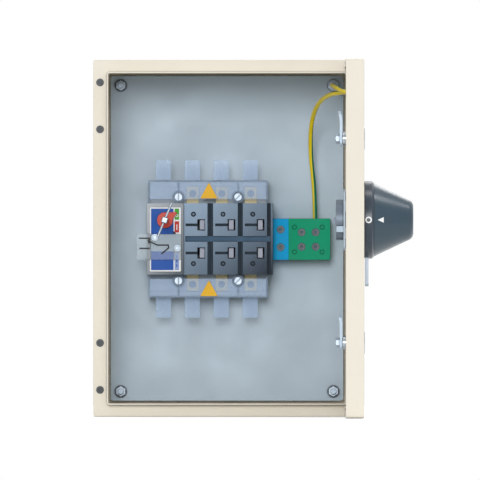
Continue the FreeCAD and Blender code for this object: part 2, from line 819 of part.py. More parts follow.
def make_door_gasket():
    mid_x = LIP_OUT_X - SHEET / 2
    mid_z = LIP_OUT_Z - SHEET / 2
    top_y = LIP_TIP_Y - SOFT_GAP
    half = GASKET_W / 2
    shapes = []
    for grow, radius in ((half, GASKET_OUT_R), (-half, GASKET_IN_R)):
        x = mid_x + grow
        z = mid_z + grow
        shapes.append(rounded(-x, x, DOOR_IN_Y, top_y, -z, z, radius))
    return shapes[0].cut(shapes[1])


def make_lock_housings():
    housings = []
    end_y = LATCH_FRONT_Y - 2 * CLEAR
    face_y = DOOR_FACE_Y - LOCK_FLANGE_T
    head_y = face_y + CORE_SEAT
    shoulder_y = DOOR_IN_Y + LOCK_BODY_DEEP
    for x, z in lock_places():
        profile = [
            (CORE_R + PIN_FIT, head_y),
            (CORE_HEAD_R + CORE_PLAY, head_y),
            (CORE_HEAD_R + CORE_PLAY, face_y),
            (LOCK_FLANGE_R - LOCK_BEVEL, face_y),
            (LOCK_FLANGE_R, DOOR_FACE_Y),
            (LOCK_R, DOOR_FACE_Y),
            (LOCK_R, shoulder_y),
            (LOCK_NECK_R, shoulder_y + LOCK_SHOULDER),
            (LOCK_NECK_R, end_y),
            (CORE_R + PIN_FIT, end_y),
        ]
        housings.append(turned(x, z, profile))
    return group(housings)


def make_latch_core(x, z):
    face_y = DOOR_FACE_Y - LOCK_FLANGE_T
    head_y = face_y + CORE_SUNK
    neck_y = head_y + CORE_HEAD_T
    back_y = LATCH_FRONT_Y + LATCH_T
    head = rod(x, z, head_y, neck_y, CORE_HEAD_R)
    barrel = rod(x, z, neck_y, LATCH_FRONT_Y, CORE_R)
    square = square_bar(x, z, LATCH_FRONT_Y, back_y, LATCH_SQUARE, 0)
    stud = rod(x, z, back_y, back_y + LATCH_NUT_T + LATCH_STUD_PROUD, LATCH_STUD_R)
    core = union([head, barrel, square, stud])
    well_y = face_y + KEY_WELL_DEEP
    well = rod(x, z, head_y, well_y, KEY_WELL_R)
    bit_x = KEY_BIT_W / 2
    bit_z = KEY_WELL_R - KEY_BIT_IN
    bit = block(x - bit_x, x + bit_x, face_y + KEY_BIT_SUNK, well_y, z - bit_z, z + bit_z)
    return core.cut(well.cut(bit))


def make_latch_tongue(x, z):
    front_y = LATCH_FRONT_Y
    back_y = front_y + LATCH_T
    tip_z = z + LATCH_REACH
    bend_z = tip_z - LATCH_TIP
    points = [
        (front_y, z - LATCH_TAIL),
        (back_y, z - LATCH_TAIL),
        (back_y, bend_z),
        (back_y + LATCH_BEND, tip_z),
        (front_y + LATCH_BEND, tip_z),
        (front_y, bend_z),
    ]
    tongue = prism_x(points, x - LATCH_W / 2, x + LATCH_W / 2)
    edges = []
    for edge in tongue.Edges:
        mid = edge.CenterOfMass
        upright = abs(edge.tangentAt(edge.FirstParameter).y) > 0.9
        outside = abs(mid.x - x) > LATCH_W / 2 - TINY
        if upright and outside and (mid.z < z or mid.z > tip_z - TINY):
            edges.append(edge)
    tongue = tongue.makeFillet(LATCH_W / 2 - LATCH_FLAT, edges)
    return tongue.cut(square_bar(x, z, front_y, back_y, LATCH_SQUARE, 0))


def make_latch_nut(x, z):
    back_y = LATCH_FRONT_Y + LATCH_T
    return hexagon(x, z, back_y, back_y + LATCH_NUT_T, LATCH_NUT_FLATS, LATCH_STUD_R)


# Handle

def make_handle_flange():
    profile = [
        (HUB_R + FLANGE_BORE_GAP, FLANGE_BACK_Y),
        (FLANGE_R, FLANGE_BACK_Y),
        (FLANGE_R, FLANGE_FRONT_Y + FLANGE_CHAMFER),
        (FLANGE_R - FLANGE_CHAMFER, FLANGE_FRONT_Y),
        (HUB_R + FLANGE_BORE_GAP, FLANGE_FRONT_Y),
    ]
    flange = turned(AXIS_X, AXIS_Z, profile)
    half = TAB_W / 2 + CLEAR
    channel = block(
        AXIS_X - half, AXIS_X + half, TAB_FRONT_Y - CLEAR, FLANGE_BACK_Y,
        AXIS_Z - FLANGE_R - OVER, AXIS_Z - FLANGE_R + TAB_IN + TAB_TRAVEL + CLEAR
    )
    tools = [channel]
    for x, z in fixing_places():
        tools.append(rod(x, z, FLANGE_BACK_Y - FLANGE_SCREW_DEEP, FLANGE_BACK_Y, FIX_R))
    return minus(flange, tools)


def make_flange_gasket():
    rubber_r = FLANGE_R - FLANGE_RUBBER_IN
    ring = tube(AXIS_X, AXIS_Z, FLANGE_BACK_Y, DOOR_FACE_Y, rubber_r, HUB_R + HUB_HOLE_GAP)
    return minus(ring, [rod(x, z, FLANGE_BACK_Y, DOOR_FACE_Y, FIX_R) for x, z in fixing_places()])


def make_padlock_tab():
    low = AXIS_Z - FLANGE_R - TAB_OUT
    high = AXIS_Z - FLANGE_R + TAB_IN
    front = TAB_FRONT_Y
    tab = rounded(AXIS_X - TAB_W / 2, AXIS_X + TAB_W / 2, front, front + TAB_T, low, high, TAB_CORNER_R)
    slot_z = low + TAB_SLOT_UP
    slot = rounded(
        AXIS_X - TAB_SLOT_W / 2, AXIS_X + TAB_SLOT_W / 2, front, front + TAB_T,
        slot_z, slot_z + TAB_SLOT_L, TAB_SLOT_W / 2 - TINY
    )
    return tab.cut(slot)


def make_handle_grip():
    slope = (GRIP_BASE_R - GRIP_TIP_R) / GRIP_DEEP
    corners = [
        V(0, GRIP_BACK_Y, 0), V(GRIP_BASE_R, GRIP_BACK_Y, 0),
        V(GRIP_TIP_R, GRIP_TIP_Y, 0), V(0, GRIP_TIP_Y, 0)
    ]
    face = Part.Face(Part.makePolygon(corners + corners[:1]))
    cone = face.revolve(V(0, 0, 0), V(0, 1, 0), 360)
    rim = [e for e in cone.Edges if abs(e.CenterOfMass.y - GRIP_TIP_Y) < TINY and e.Length > TINY]
    cone = cone.makeFillet(GRIP_ROUND, rim)
    inner_top = GRIP_TIP_Y + GRIP_WALL + GRIP_DISH_T
    top_r = GRIP_BASE_R - GRIP_WALL - slope * (GRIP_BACK_Y - inner_top)
    cave_corners = [
        V(HUB_R, GRIP_BACK_Y, 0), V(GRIP_BASE_R - GRIP_WALL, GRIP_BACK_Y, 0),
        V(top_r, inner_top, 0), V(HUB_R, inner_top, 0)
    ]
    cave_face = Part.Face(Part.makePolygon(cave_corners + cave_corners[:1]))
    cave = cave_face.revolve(V(0, 0, 0), V(0, 1, 0), 360)
    hub = rod(0, 0, GRIP_BACK_Y, FLANGE_BACK_Y, HUB_R)
    dish = rod(0, 0, GRIP_TIP_Y, GRIP_TIP_Y + GRIP_DISH_T, GRIP_DISH_R)
    well = rod(0, 0, SOCKET_SEAT_Y, FLANGE_BACK_Y, SOCKET_R)
    grip = minus(cone.cut(cave).fuse(hub), [dish, well]).removeSplitter()
    grip.translate(V(AXIS_X, 0, AXIS_Z))
    return grip


def make_drive_socket():
    profile = [
        (0, SOCKET_SEAT_Y),
        (SOCKET_R, SOCKET_SEAT_Y),
        (SOCKET_R, SOCKET_TIP_Y - SOCKET_BEVEL),
        (SOCKET_R - SOCKET_BEVEL, SOCKET_TIP_Y),
        (0, SOCKET_TIP_Y),
    ]
    body = turned(AXIS_X, AXIS_Z, profile)
    hole_side = SHAFT_SQUARE + 2 * SOCKET_CLEAR
    bottom_y = SOCKET_TIP_Y - SOCKET_DEEP
    return body.cut(square_bar(AXIS_X, AXIS_Z, bottom_y, SOCKET_TIP_Y, hole_side, SHAFT_ANGLE))


def make_backing_plate():
    """The square plate behind the door, with a tongue bent up that keys the interlock ring."""
    half = BACK_PLATE / 2
    plate = rounded(
        AXIS_X - half, AXIS_X + half, BACK_PLATE_Y, RING_BASE_Y, AXIS_Z - half, AXIS_Z + half, BACK_CORNER_R
    )
    tools = [rod(AXIS_X, AXIS_Z, BACK_PLATE_Y, RING_BASE_Y, SOCKET_R + BACK_HOLE_GAP)]
    for x, z in fixing_places():
        tools.append(Part.makeCone(FIX_R, 2 * FIX_R, BACK_PLATE_T, V(x, BACK_PLATE_Y, z), V(0, 1, 0)))
    key_left = AXIS_X - RING_KEY_OUT
    key = block(
        key_left, key_left + RING_KEY_T, BACK_PLATE_Y, RING_TOP_Y - RING_KEY_LOW,
        AXIS_Z + NOTCH_BOTTOM + CLEAR, AXIS_Z + NOTCH_TOP - CLEAR
    )
    return union([minus(plate, tools), key])


def make_fixing_parts():
    sleeves = []
    screws = []
    for x, z in fixing_places():
        sleeves.append(tube(x, z, DOOR_IN_Y, BACK_PLATE_Y, SLEEVE_R, FIX_R))
        head = Part.makeCone(FIX_R, 2 * FIX_R, BACK_PLATE_T, V(x, BACK_PLATE_Y, z), V(0, 1, 0))
        slot = driver_slot(x, z, RING_BASE_Y - SLOT_DEEP)
        shank = rod(x, z, FLANGE_BACK_Y - FLANGE_SCREW_DEEP, BACK_PLATE_Y, FIX_R)
        screws.append(union([head, shank]).cut(slot))
    return group(sleeves), group(screws)


def make_interlock_ring():
    floor_y = RING_BASE_Y + RING_BASE_T
    lip_y = RING_TOP_Y - RING_LIP_T
    hole_r = SOCKET_R + RING_HOLE_GAP
    profile = [
        (hole_r, RING_BASE_Y),
        (RING_R, RING_BASE_Y),
        (RING_R, RING_TOP_Y),
        (RING_LIP_R, RING_TOP_Y),
        (RING_LIP_R, lip_y),
        (RING_CAVE_R, lip_y),
        (RING_CAVE_R, floor_y),
        (hole_r, floor_y),
    ]
    ring = turned(AXIS_X, AXIS_Z, profile)
    reach = RING_R + OVER
    half = RING_SLOT_W / 2
    slot = block(AXIS_X - reach, AXIS_X + reach, floor_y, RING_TOP_Y + OVER, AXIS_Z - half, AXIS_Z + half)
    slot.rotate(V(AXIS_X, 0, AXIS_Z), V(0, 1, 0), -CROSS_PIN_ANGLE)
    notch = block(
        AXIS_X - reach, AXIS_X - NOTCH_IN, RING_BASE_Y, RING_TOP_Y + OVER,
        AXIS_Z + NOTCH_BOTTOM, AXIS_Z + NOTCH_TOP
    )
    ring = minus(ring, [slot, notch])
    hook_points = [
        (lip_y, AXIS_Z + HOOK_ROOT_TOP),
        (RING_TOP_Y, AXIS_Z + HOOK_ROOT_TOP),
        (RING_TOP_Y + HOOK_RISE, AXIS_Z + HOOK_TIP_TOP),
        (RING_TOP_Y + HOOK_RISE, AXIS_Z + HOOK_TIP_BOTTOM),
        (RING_TOP_Y + HOOK_HEEL_RISE, AXIS_Z + HOOK_HEEL_BOTTOM),
        (lip_y, AXIS_Z + HOOK_ROOT_BOTTOM),
    ]
    hook = prism_x(hook_points, AXIS_X - HOOK_OUT, AXIS_X - HOOK_IN)
    return union([ring, hook])


# Isolator

def switch_screw_places():
    places = []
    for x in (SW_LEFT + SW_SCREW_IN_LEFT, SW_RIGHT - SW_SCREW_IN_RIGHT):
        for side in (-1, 1):
            places.append((x, SW_MID_Z + side * SW_SCREW_HALF_Z))
    return places


def terminal_notches(low_y, high_y, extra):
    notches = []
    for x in POLES_X:
        half = TERMINAL_W / 2 + extra
        notches.append(block(x - half, x + half, low_y, high_y, SW_TOP - TERMINAL_ROOT, SW_TOP + OVER))
    return notches


def make_switch_base():
    body = block(SW_LEFT, SW_RIGHT, BASE_Y, PLATE_Y, SW_BOTTOM, SW_TOP)
    cave = block(
        SW_LEFT + SW_WALL, SW_RIGHT - SW_WALL, BASE_Y - OVER, PLATE_Y - SW_FLOOR,
        SW_BOTTOM + SW_WALL, SW_TOP - SW_WALL
    )
    base = body.cut(cave)
    shelf_y = BASE_Y + SHELF_T
    shelf = block(SHROUD_LEFT, SHROUD_RIGHT, BASE_Y, shelf_y, SW_TOP, SHROUD_TOP)
    for x in POLES_X:
        shelf = shelf.cut(rod(x, TERMINAL_HOLE_Z, BASE_Y, shelf_y, TERMINAL_HOLE_R))
    for x in BOSS_X:
        shelf = shelf.cut(rod(x, BOSS_Z, BASE_Y, BASE_Y + SHELF_SCREW_DEEP, COVER_SCREW_SHANK_R))
    bosses = []
    holes = []
    for x, z in switch_screw_places():
        bosses.append(rod(x, z, PLATE_Y - SW_BOSS_HIGH, PLATE_Y, SW_BOSS_R))
        holes.append(rod(x, z, PLATE_Y - SW_BOSS_BORE, PLATE_Y, FIX_R))
    ledges = []
    for x in POLES_X:
        left = x - TERMINAL_W / 2
        ledge = block(
            left, left + JAW_W, BASE_Y, PLATE_Y - SW_FLOOR, JAW_HIGH - LEDGE_LAP, SW_TOP - SW_WALL
        )
        ledges.append(ledge)
        ledges.append(mirror_z(ledge))
    base = union([base, shelf, mirror_z(shelf)] + bosses + ledges)
    return minus(base, holes)


def make_switch_screws():
    screws = []
    for x, z in switch_screw_places():
        head = rod(x, z, PLATE_BACK_Y, PLATE_BACK_Y + SW_SCREW_HEAD_T, SW_SCREW_HEAD_R)
        shank = rod(x, z, PLATE_Y - SW_SCREW_IN, PLATE_BACK_Y, FIX_R)
        screws.append(union([head, shank]))
    return group(screws)


def carriage_pass(x0, x1):
    half = CAR_HALF_Z + CAR_GAP
    return block(x0, x1, CAR_FRONT_Y - CAR_GAP, BASE_Y, SW_MID_Z - half, SW_MID_Z + half)


def pole_channels():
    """The deep channels between the poles, with a seam in each, and the shallow band across them."""
    channels = []
    channel_y = POLE_Y + CHANNEL_DEEP
    seam_y = channel_y + SEAM_DEEP
    for left, right in zip(CELL_RIGHT, CELL_LEFT[1:] + (SW_RIGHT - EDGE_WALL,)):
        mid = (left + right) / 2
        for low, high in ((BAND_TOP, SW_TOP + OVER), (SW_BOTTOM - OVER, BAND_BOTTOM)):
            channels.append(block(left, right, POLE_Y - OVER, channel_y, low, high))
            channels.append(block(mid - SEAM_HALF, mid + SEAM_HALF, POLE_Y, seam_y, low, high))
    band_right = SW_RIGHT - EDGE_WALL
    band_y = POLE_Y + BAND_DEEP
    channels.append(block(SW_SPLIT + BAND_IN, band_right, POLE_Y - OVER, band_y, BAND_BOTTOM, BAND_TOP))
    return channels


def pole_windows(left, right):
    """A pole's two windows with their slits, two probe holes, and the room that the flags slide in."""
    room_y = POLE_Y + FRONT_WALL
    room = block(
        left + FLAG_ROOM_LEFT, right - FLAG_ROOM_RIGHT, room_y, POLE_Y + FLAG_ROOM_DEEP,
        SW_MID_Z - FLAG_ROOM_HALF, SW_MID_Z + FLAG_ROOM_HALF
    )
    cuts = [room]
    front = POLE_Y - OVER
    back = POLE_Y + WINDOW_DEEP
    window_left = right - WINDOW_LEFT
    for sign in (1, -1):
        mid_z = SW_MID_Z + sign * ((FLAG_LOW_EDGE + FLAG_HIGH_EDGE) / 2 - SW_MID_Z)
        low = mid_z - WINDOW_HALF
        high = mid_z + WINDOW_HALF
        cuts.append(block(window_left, right - WINDOW_RIGHT, front, back, low, high))
        slit_right = window_left + SLIT_HALF
        slit_y = POLE_Y + SLIT_DEEP
        slit_low = mid_z - SLIT_HALF
        cuts.append(block(left + SLIT_LEFT, slit_right, front, slit_y, slit_low, mid_z + SLIT_HALF))
        z = SW_MID_Z + sign * (PROBE_Z - SW_MID_Z)
        x = left + PROBE_IN
        cuts.append(rod(x, z, front, POLE_Y + PROBE_POST_SUNK, PROBE_R))
        cuts.append(tube(x, z, POLE_Y, POLE_Y + PROBE_DEEP, PROBE_R, PROBE_POST_R))
    return cuts


def make_pole_cover():
    cover = block(SW_SPLIT, SW_RIGHT, POLE_Y, BASE_Y, SW_BOTTOM, SW_TOP)
    cave = block(
        SW_SPLIT + COVER_WALL, SW_RIGHT - COVER_WALL, POLE_Y + CHANNEL_DEEP + FRONT_WALL, BASE_Y + OVER,
        SW_BOTTOM + COVER_WALL, SW_TOP - COVER_WALL
    )
    notches = terminal_notches(BAR_Y - CLEAR, BASE_Y + OVER, CLEAR)
    tools = [cave, carriage_pass(SW_SPLIT - OVER, SW_SPLIT + COVER_WALL + OVER)]
    tools += notches + [mirror_z(notch) for notch in notches]
    tools += pole_channels()
    for left, right in zip(CELL_LEFT, CELL_RIGHT):
        tools += pole_windows(left, right)
    return minus(cover, tools)


def make_mechanism_cover():
    cover = rounded(SW_LEFT, SW_SPLIT, MECH_Y, BASE_Y, SW_BOTTOM, SW_TOP, MECH_R)
    cave = block(
        SW_LEFT + COVER_WALL, SW_SPLIT - COVER_WALL, MECH_Y + FRONT_WALL, BASE_Y + OVER,
        SW_BOTTOM + COVER_WALL, SW_TOP - COVER_WALL
    )
    tools = [
        cave,
        carriage_pass(SW_SPLIT - COVER_WALL - OVER, SW_SPLIT + OVER),
        rod(AXIS_X, AXIS_Z, MECH_Y - OVER, MECH_Y + FRONT_WALL + OVER, BUSH_R),
    ]
    for x, z in AUX_SCREWS:
        tools.append(rod(x, z, MECH_Y, MECH_Y + FRONT_WALL, AUX_SCREW_R))
    return minus(cover, tools)


def make_shaft_bush():
    flange_y = MECH_Y + FRONT_WALL
    profile = [
        (CRANK_HUB_R + PIN_FIT, MECH_Y),
        (BUSH_R, MECH_Y),
        (BUSH_R, flange_y),
        (BUSH_FLANGE_R, flange_y),
        (BUSH_FLANGE_R, flange_y + BUSH_FLANGE_T),
        (BUSH_R, flange_y + BUSH_FLANGE_T),
        (BUSH_R, MECH_Y + BUSH_LONG),
        (CRANK_HUB_R + PIN_FIT, MECH_Y + BUSH_LONG),
    ]
    return turned(AXIS_X, AXIS_Z, profile)


def make_label_plate():
    plate = rounded(LABEL_LEFT, LABEL_RIGHT, AUX_BACK_Y, MECH_Y, LABEL_BOTTOM, LABEL_TOP, LABEL_R)
    tools = [rod(AXIS_X, AXIS_Z, AUX_BACK_Y, MECH_Y, BUSH_R)]
    for x, z in AUX_SCREWS:
        tools.append(rod(x, z, AUX_BACK_Y, MECH_Y, AUX_SCREW_R))
    return minus(plate, tools)


def make_fixed_contact(x):
    """One copper bar: terminal lug outside, two fingers inside."""
    half = TERMINAL_W / 2
    left = x - half
    root_z = SW_TOP - TERMINAL_ROOT
    bar = block(left, x + half, BAR_Y, BASE_Y, root_z, TERMINAL_TOP)
    bar = bar.cut(rod(x, TERMINAL_HOLE_Z, BAR_Y, BASE_Y, TERMINAL_HOLE_R))
    neck = block(left, left + JAW_W, BAR_Y, BASE_Y, JAW_LOW, root_z)
    finger_y = BAR_Y - JAW_GAP - TERMINAL_T
    finger = block(left, left + JAW_W, finger_y, finger_y + TERMINAL_T, JAW_LOW, JAW_HIGH)
    heel = block(left, left + JAW_W, finger_y, BASE_Y, JAW_HIGH - JAW_HEEL, JAW_HIGH)
    contact = union([bar, neck, finger, heel])
    lip_edges = []
    for edge in contact.Edges:
        mid = edge.CenterOfMass
        along_z = abs(edge.tangentAt(edge.FirstParameter).z) > 0.9
        inner = abs(mid.x - (left + JAW_W)) < TINY and mid.z < JAW_HIGH - JAW_HEEL
        mouth = abs(mid.y - BAR_Y) < TINY or abs(mid.y - (finger_y + TERMINAL_T)) < TINY
        if along_z and inner and mouth:
            lip_edges.append(edge)
    return contact.makeChamfer(JAW_LEAD, lip_edges)


def make_moving_contacts():
    blades = []
    for x in POLES_X:
        mid = blade_mid(x)
        blades.append(
            block(
                mid - BLADE_W / 2, mid + BLADE_W / 2, BLADE_Y - BLADE_T, BLADE_Y,
                SW_MID_Z - BLADE_HALF, SW_MID_Z + BLADE_HALF
            )
        )
    return blades


def blade_mid(x):
    return x + BLADE_OFF_SHIFT


def make_carriage():
    yoke_mid = AXIS_X + CRANK_X_OFF
    yoke_left = yoke_mid - YOKE_HALF
    yoke_right = yoke_mid + YOKE_HALF
    yoke_front = CRANK_BACK_Y + YOKE_GAP
    bar_right = blade_mid(POLES_X[-1]) + BLADE_W / 2
    low_z = SW_MID_Z - CAR_HALF_Z
    high_z = SW_MID_Z + CAR_HALF_Z
    bar = block(yoke_left, bar_right, CAR_FRONT_Y, CAR_BACK_Y, low_z, high_z)
    yoke = block(yoke_left, yoke_right, yoke_front, yoke_front + YOKE_T, low_z, AXIS_Z + YOKE_GAP)
    pillar = block(yoke_left, yoke_right, yoke_front, CAR_FRONT_Y, low_z, high_z)
    half = CRANK_PIN_R + YOKE_PLAY
    low = AXIS_Z - CRANK_R - half
    high = AXIS_Z - CRANK_X_OFF + half
    slot = block(
        yoke_mid - half, yoke_mid + half, yoke_front - OVER, yoke_front + YOKE_T + OVER, low, high
    )
    pieces = [bar, yoke, pillar]
    flag_low = FLAG_LOW_EDGE - SW_MID_Z
    flag_high = FLAG_HIGH_EDGE - SW_MID_Z
    for x in POLES_X:
        mid = blade_mid(x)
        left = mid - BLADE_W / 2
        right = mid + BLADE_W / 2
        pieces.append(
            block(left, right, FLAG_ARM_Y, CAR_FRONT_Y, SW_MID_Z - flag_high, SW_MID_Z + flag_high)
        )
        pieces.append(
            block(left, right, FLAG_TIP_Y, FLAG_ARM_Y, SW_MID_Z + flag_low, SW_MID_Z + flag_high)
        )
        pieces.append(
            block(left, right, FLAG_TIP_Y, FLAG_ARM_Y, SW_MID_Z - flag_high, SW_MID_Z - flag_low)
        )
    return minus(union(pieces), [slot] + make_moving_contacts())


def make_drive_crank():
    disc_y = CRANK_BACK_Y - CRANK_DISC_T
    hub_y = MECH_Y - CRANK_PROUD
    disc = rod(AXIS_X, AXIS_Z, disc_y, CRANK_BACK_Y, CRANK_DISC_R)
    hub = rod(AXIS_X, AXIS_Z, hub_y, disc_y, CRANK_HUB_R)
    pin_x = AXIS_X + CRANK_X_OFF
    pin_z = AXIS_Z - CRANK_X_OFF
    pin = rod(pin_x, pin_z, CRANK_BACK_Y, CRANK_BACK_Y + YOKE_T, CRANK_PIN_R)
    crank = union([disc, hub, pin])
    return crank.cut(square_bar(AXIS_X, AXIS_Z, hub_y, disc_y + SHAFT_SEAT, SHAFT_SQUARE, SHAFT_ANGLE))


def make_drive_shaft():
    end_y = CRANK_BACK_Y - CRANK_DISC_T + SHAFT_SEAT
    bar = square_bar(AXIS_X, AXIS_Z, SHAFT_TIP, end_y, SHAFT_SQUARE, SHAFT_ANGLE)
    tip = [e for e in bar.Edges if abs(e.CenterOfMass.y - SHAFT_TIP) < TINY]
    return bar.makeChamfer(SHAFT_LEAD, tip).cut(make_cross_pin())


def make_cross_pin():
    half = CROSS_PIN_LEN / 2
    start = V(AXIS_X - half, CROSS_PIN_Y, AXIS_Z)
    pin = Part.makeCylinder(CROSS_PIN_R, CROSS_PIN_LEN, start, V(1, 0, 0))
    pin.rotate(V(AXIS_X, 0, AXIS_Z), V(0, 1, 0), -CROSS_PIN_ANGLE)
    return pin


def make_position_pointer():
    back_y = MECH_Y - POINTER_GAP
    front_y = back_y - POINTER_T
    disc = rod(AXIS_X, AXIS_Z, front_y, back_y, POINTER_R)
    tip = math.radians(POINTER_ANGLE)
    tip_x = AXIS_X + POINTER_REACH * math.cos(tip)
    tip_z = AXIS_Z + POINTER_REACH * math.sin(tip)
    points = [
        (AXIS_X + BEAK_ROOT, AXIS_Z + POINTER_R - BEAK_IN),
        (tip_x - BEAK_TIP_BACK, tip_z + BEAK_TIP_UP),
        (tip_x, tip_z - BEAK_TIP_DOWN),
        (AXIS_X + POINTER_R - BEAK_IN, AXIS_Z + BEAK_ROOT),
        (AXIS_X, AXIS_Z),
    ]
    beak = prism_y(points, front_y, back_y)
    square = square_bar(AXIS_X, AXIS_Z, front_y, back_y, SHAFT_SQUARE, SHAFT_ANGLE)
    return union([disc, beak]).cut(square)


# Terminal shrouds

def make_shroud():
    front = SHROUD_FRONT_Y
    back = BASE_Y
    roof_z = SHROUD_TOP - SHROUD_T
    hood = block(SHROUD_LEFT, SHROUD_RIGHT, front, back, SW_TOP, SHROUD_TOP)
    cave = block(
        SHROUD_LEFT + SHROUD_T, SHROUD_RIGHT - SHROUD_T, front + SHROUD_T, back + OVER,
        SW_TOP - OVER, roof_z
    )
    gap = block(
        SHROUD_LEFT + SHROUD_T, SHROUD_RIGHT - SHROUD_T, front - OVER, front + SHROUD_T + OVER,
        SW_TOP - OVER, SHROUD_LOW
    )
    step_y = front + SHROUD_STEP
    step = block(
        SHROUD_LEFT - OVER, SHROUD_RIGHT + OVER, front - OVER, step_y, SHROUD_BAND, SHROUD_TOP + OVER
    )
    pieces = [minus(hood, [cave, gap, step])]
    for x in (BOSS_X[0], TRIANGLE_X, BOSS_X[1]):
        pieces.append(block(x - RIB_HALF, x + RIB_HALF, front + SHROUD_T, back, BOSS_Z, roof_z))
    for i in range(4):
        x = TONGUE_FIRST_X + TONGUE_PITCH * i
        tongue_y = PLATE_Y - TONGUE_DEEP
        tongue = rounded(
            x - TONGUE_W / 2, x + TONGUE_W / 2, tongue_y, tongue_y + TONGUE_T,
            roof_z - TONGUE_ROOT, TONGUE_TOP, TONGUE_R
        )
        root_y = tongue_y + TONGUE_T + OVER
        root = block(x - TONGUE_W, x + TONGUE_W, tongue_y - OVER, root_y, 0, roof_z)
        pieces.append(tongue.cut(root))
    for x in BOSS_X:
        pieces.append(rod(x, BOSS_Z, front - BOSS_PROUD, back, BOSS_R))
    shroud = union(pieces)
    tools = []
    floor_y = front - BOSS_WELL_FLOOR
    for x in BOSS_X:
        tools.append(rod(x, BOSS_Z, front - BOSS_PROUD, floor_y, BOSS_WELL_R))
        tools.append(rod(x, BOSS_Z, floor_y, back, COVER_SCREW_SHANK_R))
    return minus(shroud, tools)


def cover_screw(x, z, seat_y, deep, turn):
    """A screw with a flat round head, its slot turned from upright."""
    head_y = seat_y - COVER_HEAD_T
    head = rod(x, z, head_y, seat_y, COVER_SCREW_R)
    shank = rod(x, z, seat_y, seat_y + deep, COVER_SCREW_SHANK_R)
    reach = COVER_SCREW_R + OVER
    floor_y = seat_y - COVER_SLOT_FLOOR
    slot = block(x - COVER_SLOT_HALF, x + COVER_SLOT_HALF, head_y, floor_y, z - reach, z + reach)
    slot.rotate(V(x, 0, z), V(0, 1, 0), turn)
    return union([head, shank]).cut(slot)


def make_cover_screws():
    seat_y = SHROUD_FRONT_Y - BOSS_WELL_FLOOR
    deep = BASE_Y + COVER_SCREW_IN - seat_y
    screws = []
    for x, turn in zip(BOSS_X, (0.0, COVER_SLOT_TURN)):
        for z in (BOSS_Z, 2 * SW_MID_Z - BOSS_Z):
            screws.append(cover_screw(x, z, seat_y, deep, turn))
    return group(screws + make_aux_screws())


def make_triangles():
    back = SHROUD_FRONT_Y
    plates = []
    for low in TRIANGLE_LOWS:
        points = [
            (TRIANGLE_X - TRIANGLE_HALF, low),
            (TRIANGLE_X + TRIANGLE_HALF, low),
            (TRIANGLE_X, low + TRIANGLE_HIGH),
        ]
        plate = prism_y(points, back - TRIANGLE_T, back)
        edges = [e for e in plate.Edges if abs(e.tangentAt(e.FirstParameter).y) > 0.9]
        plates.append(plate.makeFillet(TRIANGLE_R, edges))
    return group(plates)


# Auxiliary contact cover and conductor blocks

def make_aux_cover():
    back = AUX_BACK_Y
    front = back - AUX_T
    plate = rounded(AUX_LEFT, AUX_RIGHT, front, back, AUX_BOTTOM, AUX_TOP, AUX_R)
    side_y = back + AUX_SIDE_DEEP
    low = AUX_BOTTOM + AUX_INSET
    high = AUX_TOP - AUX_INSET
    side = block(AUX_LEFT, SW_LEFT, front + AUX_STEP, side_y, low, high)
    cave = block(AUX_LEFT + AUX_WALL, SW_LEFT, back, side_y + OVER, low + AUX_WALL, high - AUX_WALL)
    cover = union([plate, side]).cut(cave)
    return minus(cover, [rod(x, z, front, back, AUX_SCREW_R) for x, z in AUX_SCREWS])


def make_aux_screws():
    seat_y = AUX_BACK_Y - AUX_T
    head_y = seat_y - AUX_HEAD_T
    screws = []
    for x, z in AUX_SCREWS:
        head = rod(x, z, head_y, seat_y, AUX_HEAD_R)
        groove = tube(x, z, head_y, head_y + AUX_GROOVE_DEEP, AUX_GROOVE_R, AUX_GROOVE_IN)
        shank = rod(x, z, seat_y, MECH_Y + FRONT_WALL, AUX_SCREW_R)
        screws.append(union([head, shank]).cut(groove))
    return screws


def block_bar(left, right, screws):
    front = BAR_FRONT_Y
    bar = block(
        left + BLOCK_BAR_SIDE, right - BLOCK_BAR_SIDE, front, front + BLOCK_BAR_DEEP,
        BLOCK_BOTTOM + BLOCK_BAR_MARGIN, BLOCK_TOP - BLOCK_BAR_MARGIN
    )
    return minus(bar, [rod(x, z, front, front + BLOCK_BAR_DEEP, CLAMP_R) for x, z in screws])


def conductor_block(left, right, screws, rings, wires):
    front = BLOCK_FRONT_Y
    body = block(left, right, front, PLATE_Y, BLOCK_BOTTOM, BLOCK_TOP)
    tools = [
        block(
            left + BLOCK_BAR_SIDE, right - BLOCK_BAR_SIDE, BAR_FRONT_Y, PLATE_Y + OVER,
            BLOCK_BOTTOM + BLOCK_BAR_MARGIN, BLOCK_TOP - BLOCK_BAR_MARGIN
        )
    ]
    for x, z in screws:
        tools.append(rod(x, z, front - OVER, BAR_FRONT_Y, BLOCK_SCREW_R))
    for x, z in rings:
        tools.append(tube(x, z, front - OVER, front + BLOCK_RING_DEEP, BLOCK_RING_R, BLOCK_RING_IN))
    for x in wires:
        hole_r = WIRE_R + WIRE_PLAY
        tools.append(rod_z(x, WIRE_BLOCK_Y, BLOCK_TOP - BLOCK_BAR_MARGIN, BLOCK_TOP + OVER, hole_r))
        tools.append(rod_z(x, WIRE_BLOCK_Y, BLOCK_BOTTOM - OVER, BLOCK_BOTTOM + BLOCK_BAR_MARGIN, hole_r))
    return minus(body, tools)


def make_block_screws():
    head_y = BLOCK_FRONT_Y + CLAMP_SUNK
    screws = []
    for x, z in NEUTRAL_SCREWS + EARTH_SCREWS:
        head = rod(x, z, head_y, BAR_FRONT_Y, BLOCK_SCREW_R)
        socket = rod(x, z, head_y, head_y + CLAMP_R, CLAMP_SOCKET_R)
        shank = rod(x, z, BAR_FRONT_Y, BAR_FRONT_Y + BLOCK_BAR_DEEP, CLAMP_R)
        screws.append(union([head, shank]).cut(socket))
    return group(screws)


# Earth wires: routes in the open position, drawn as straight runs joined by arcs

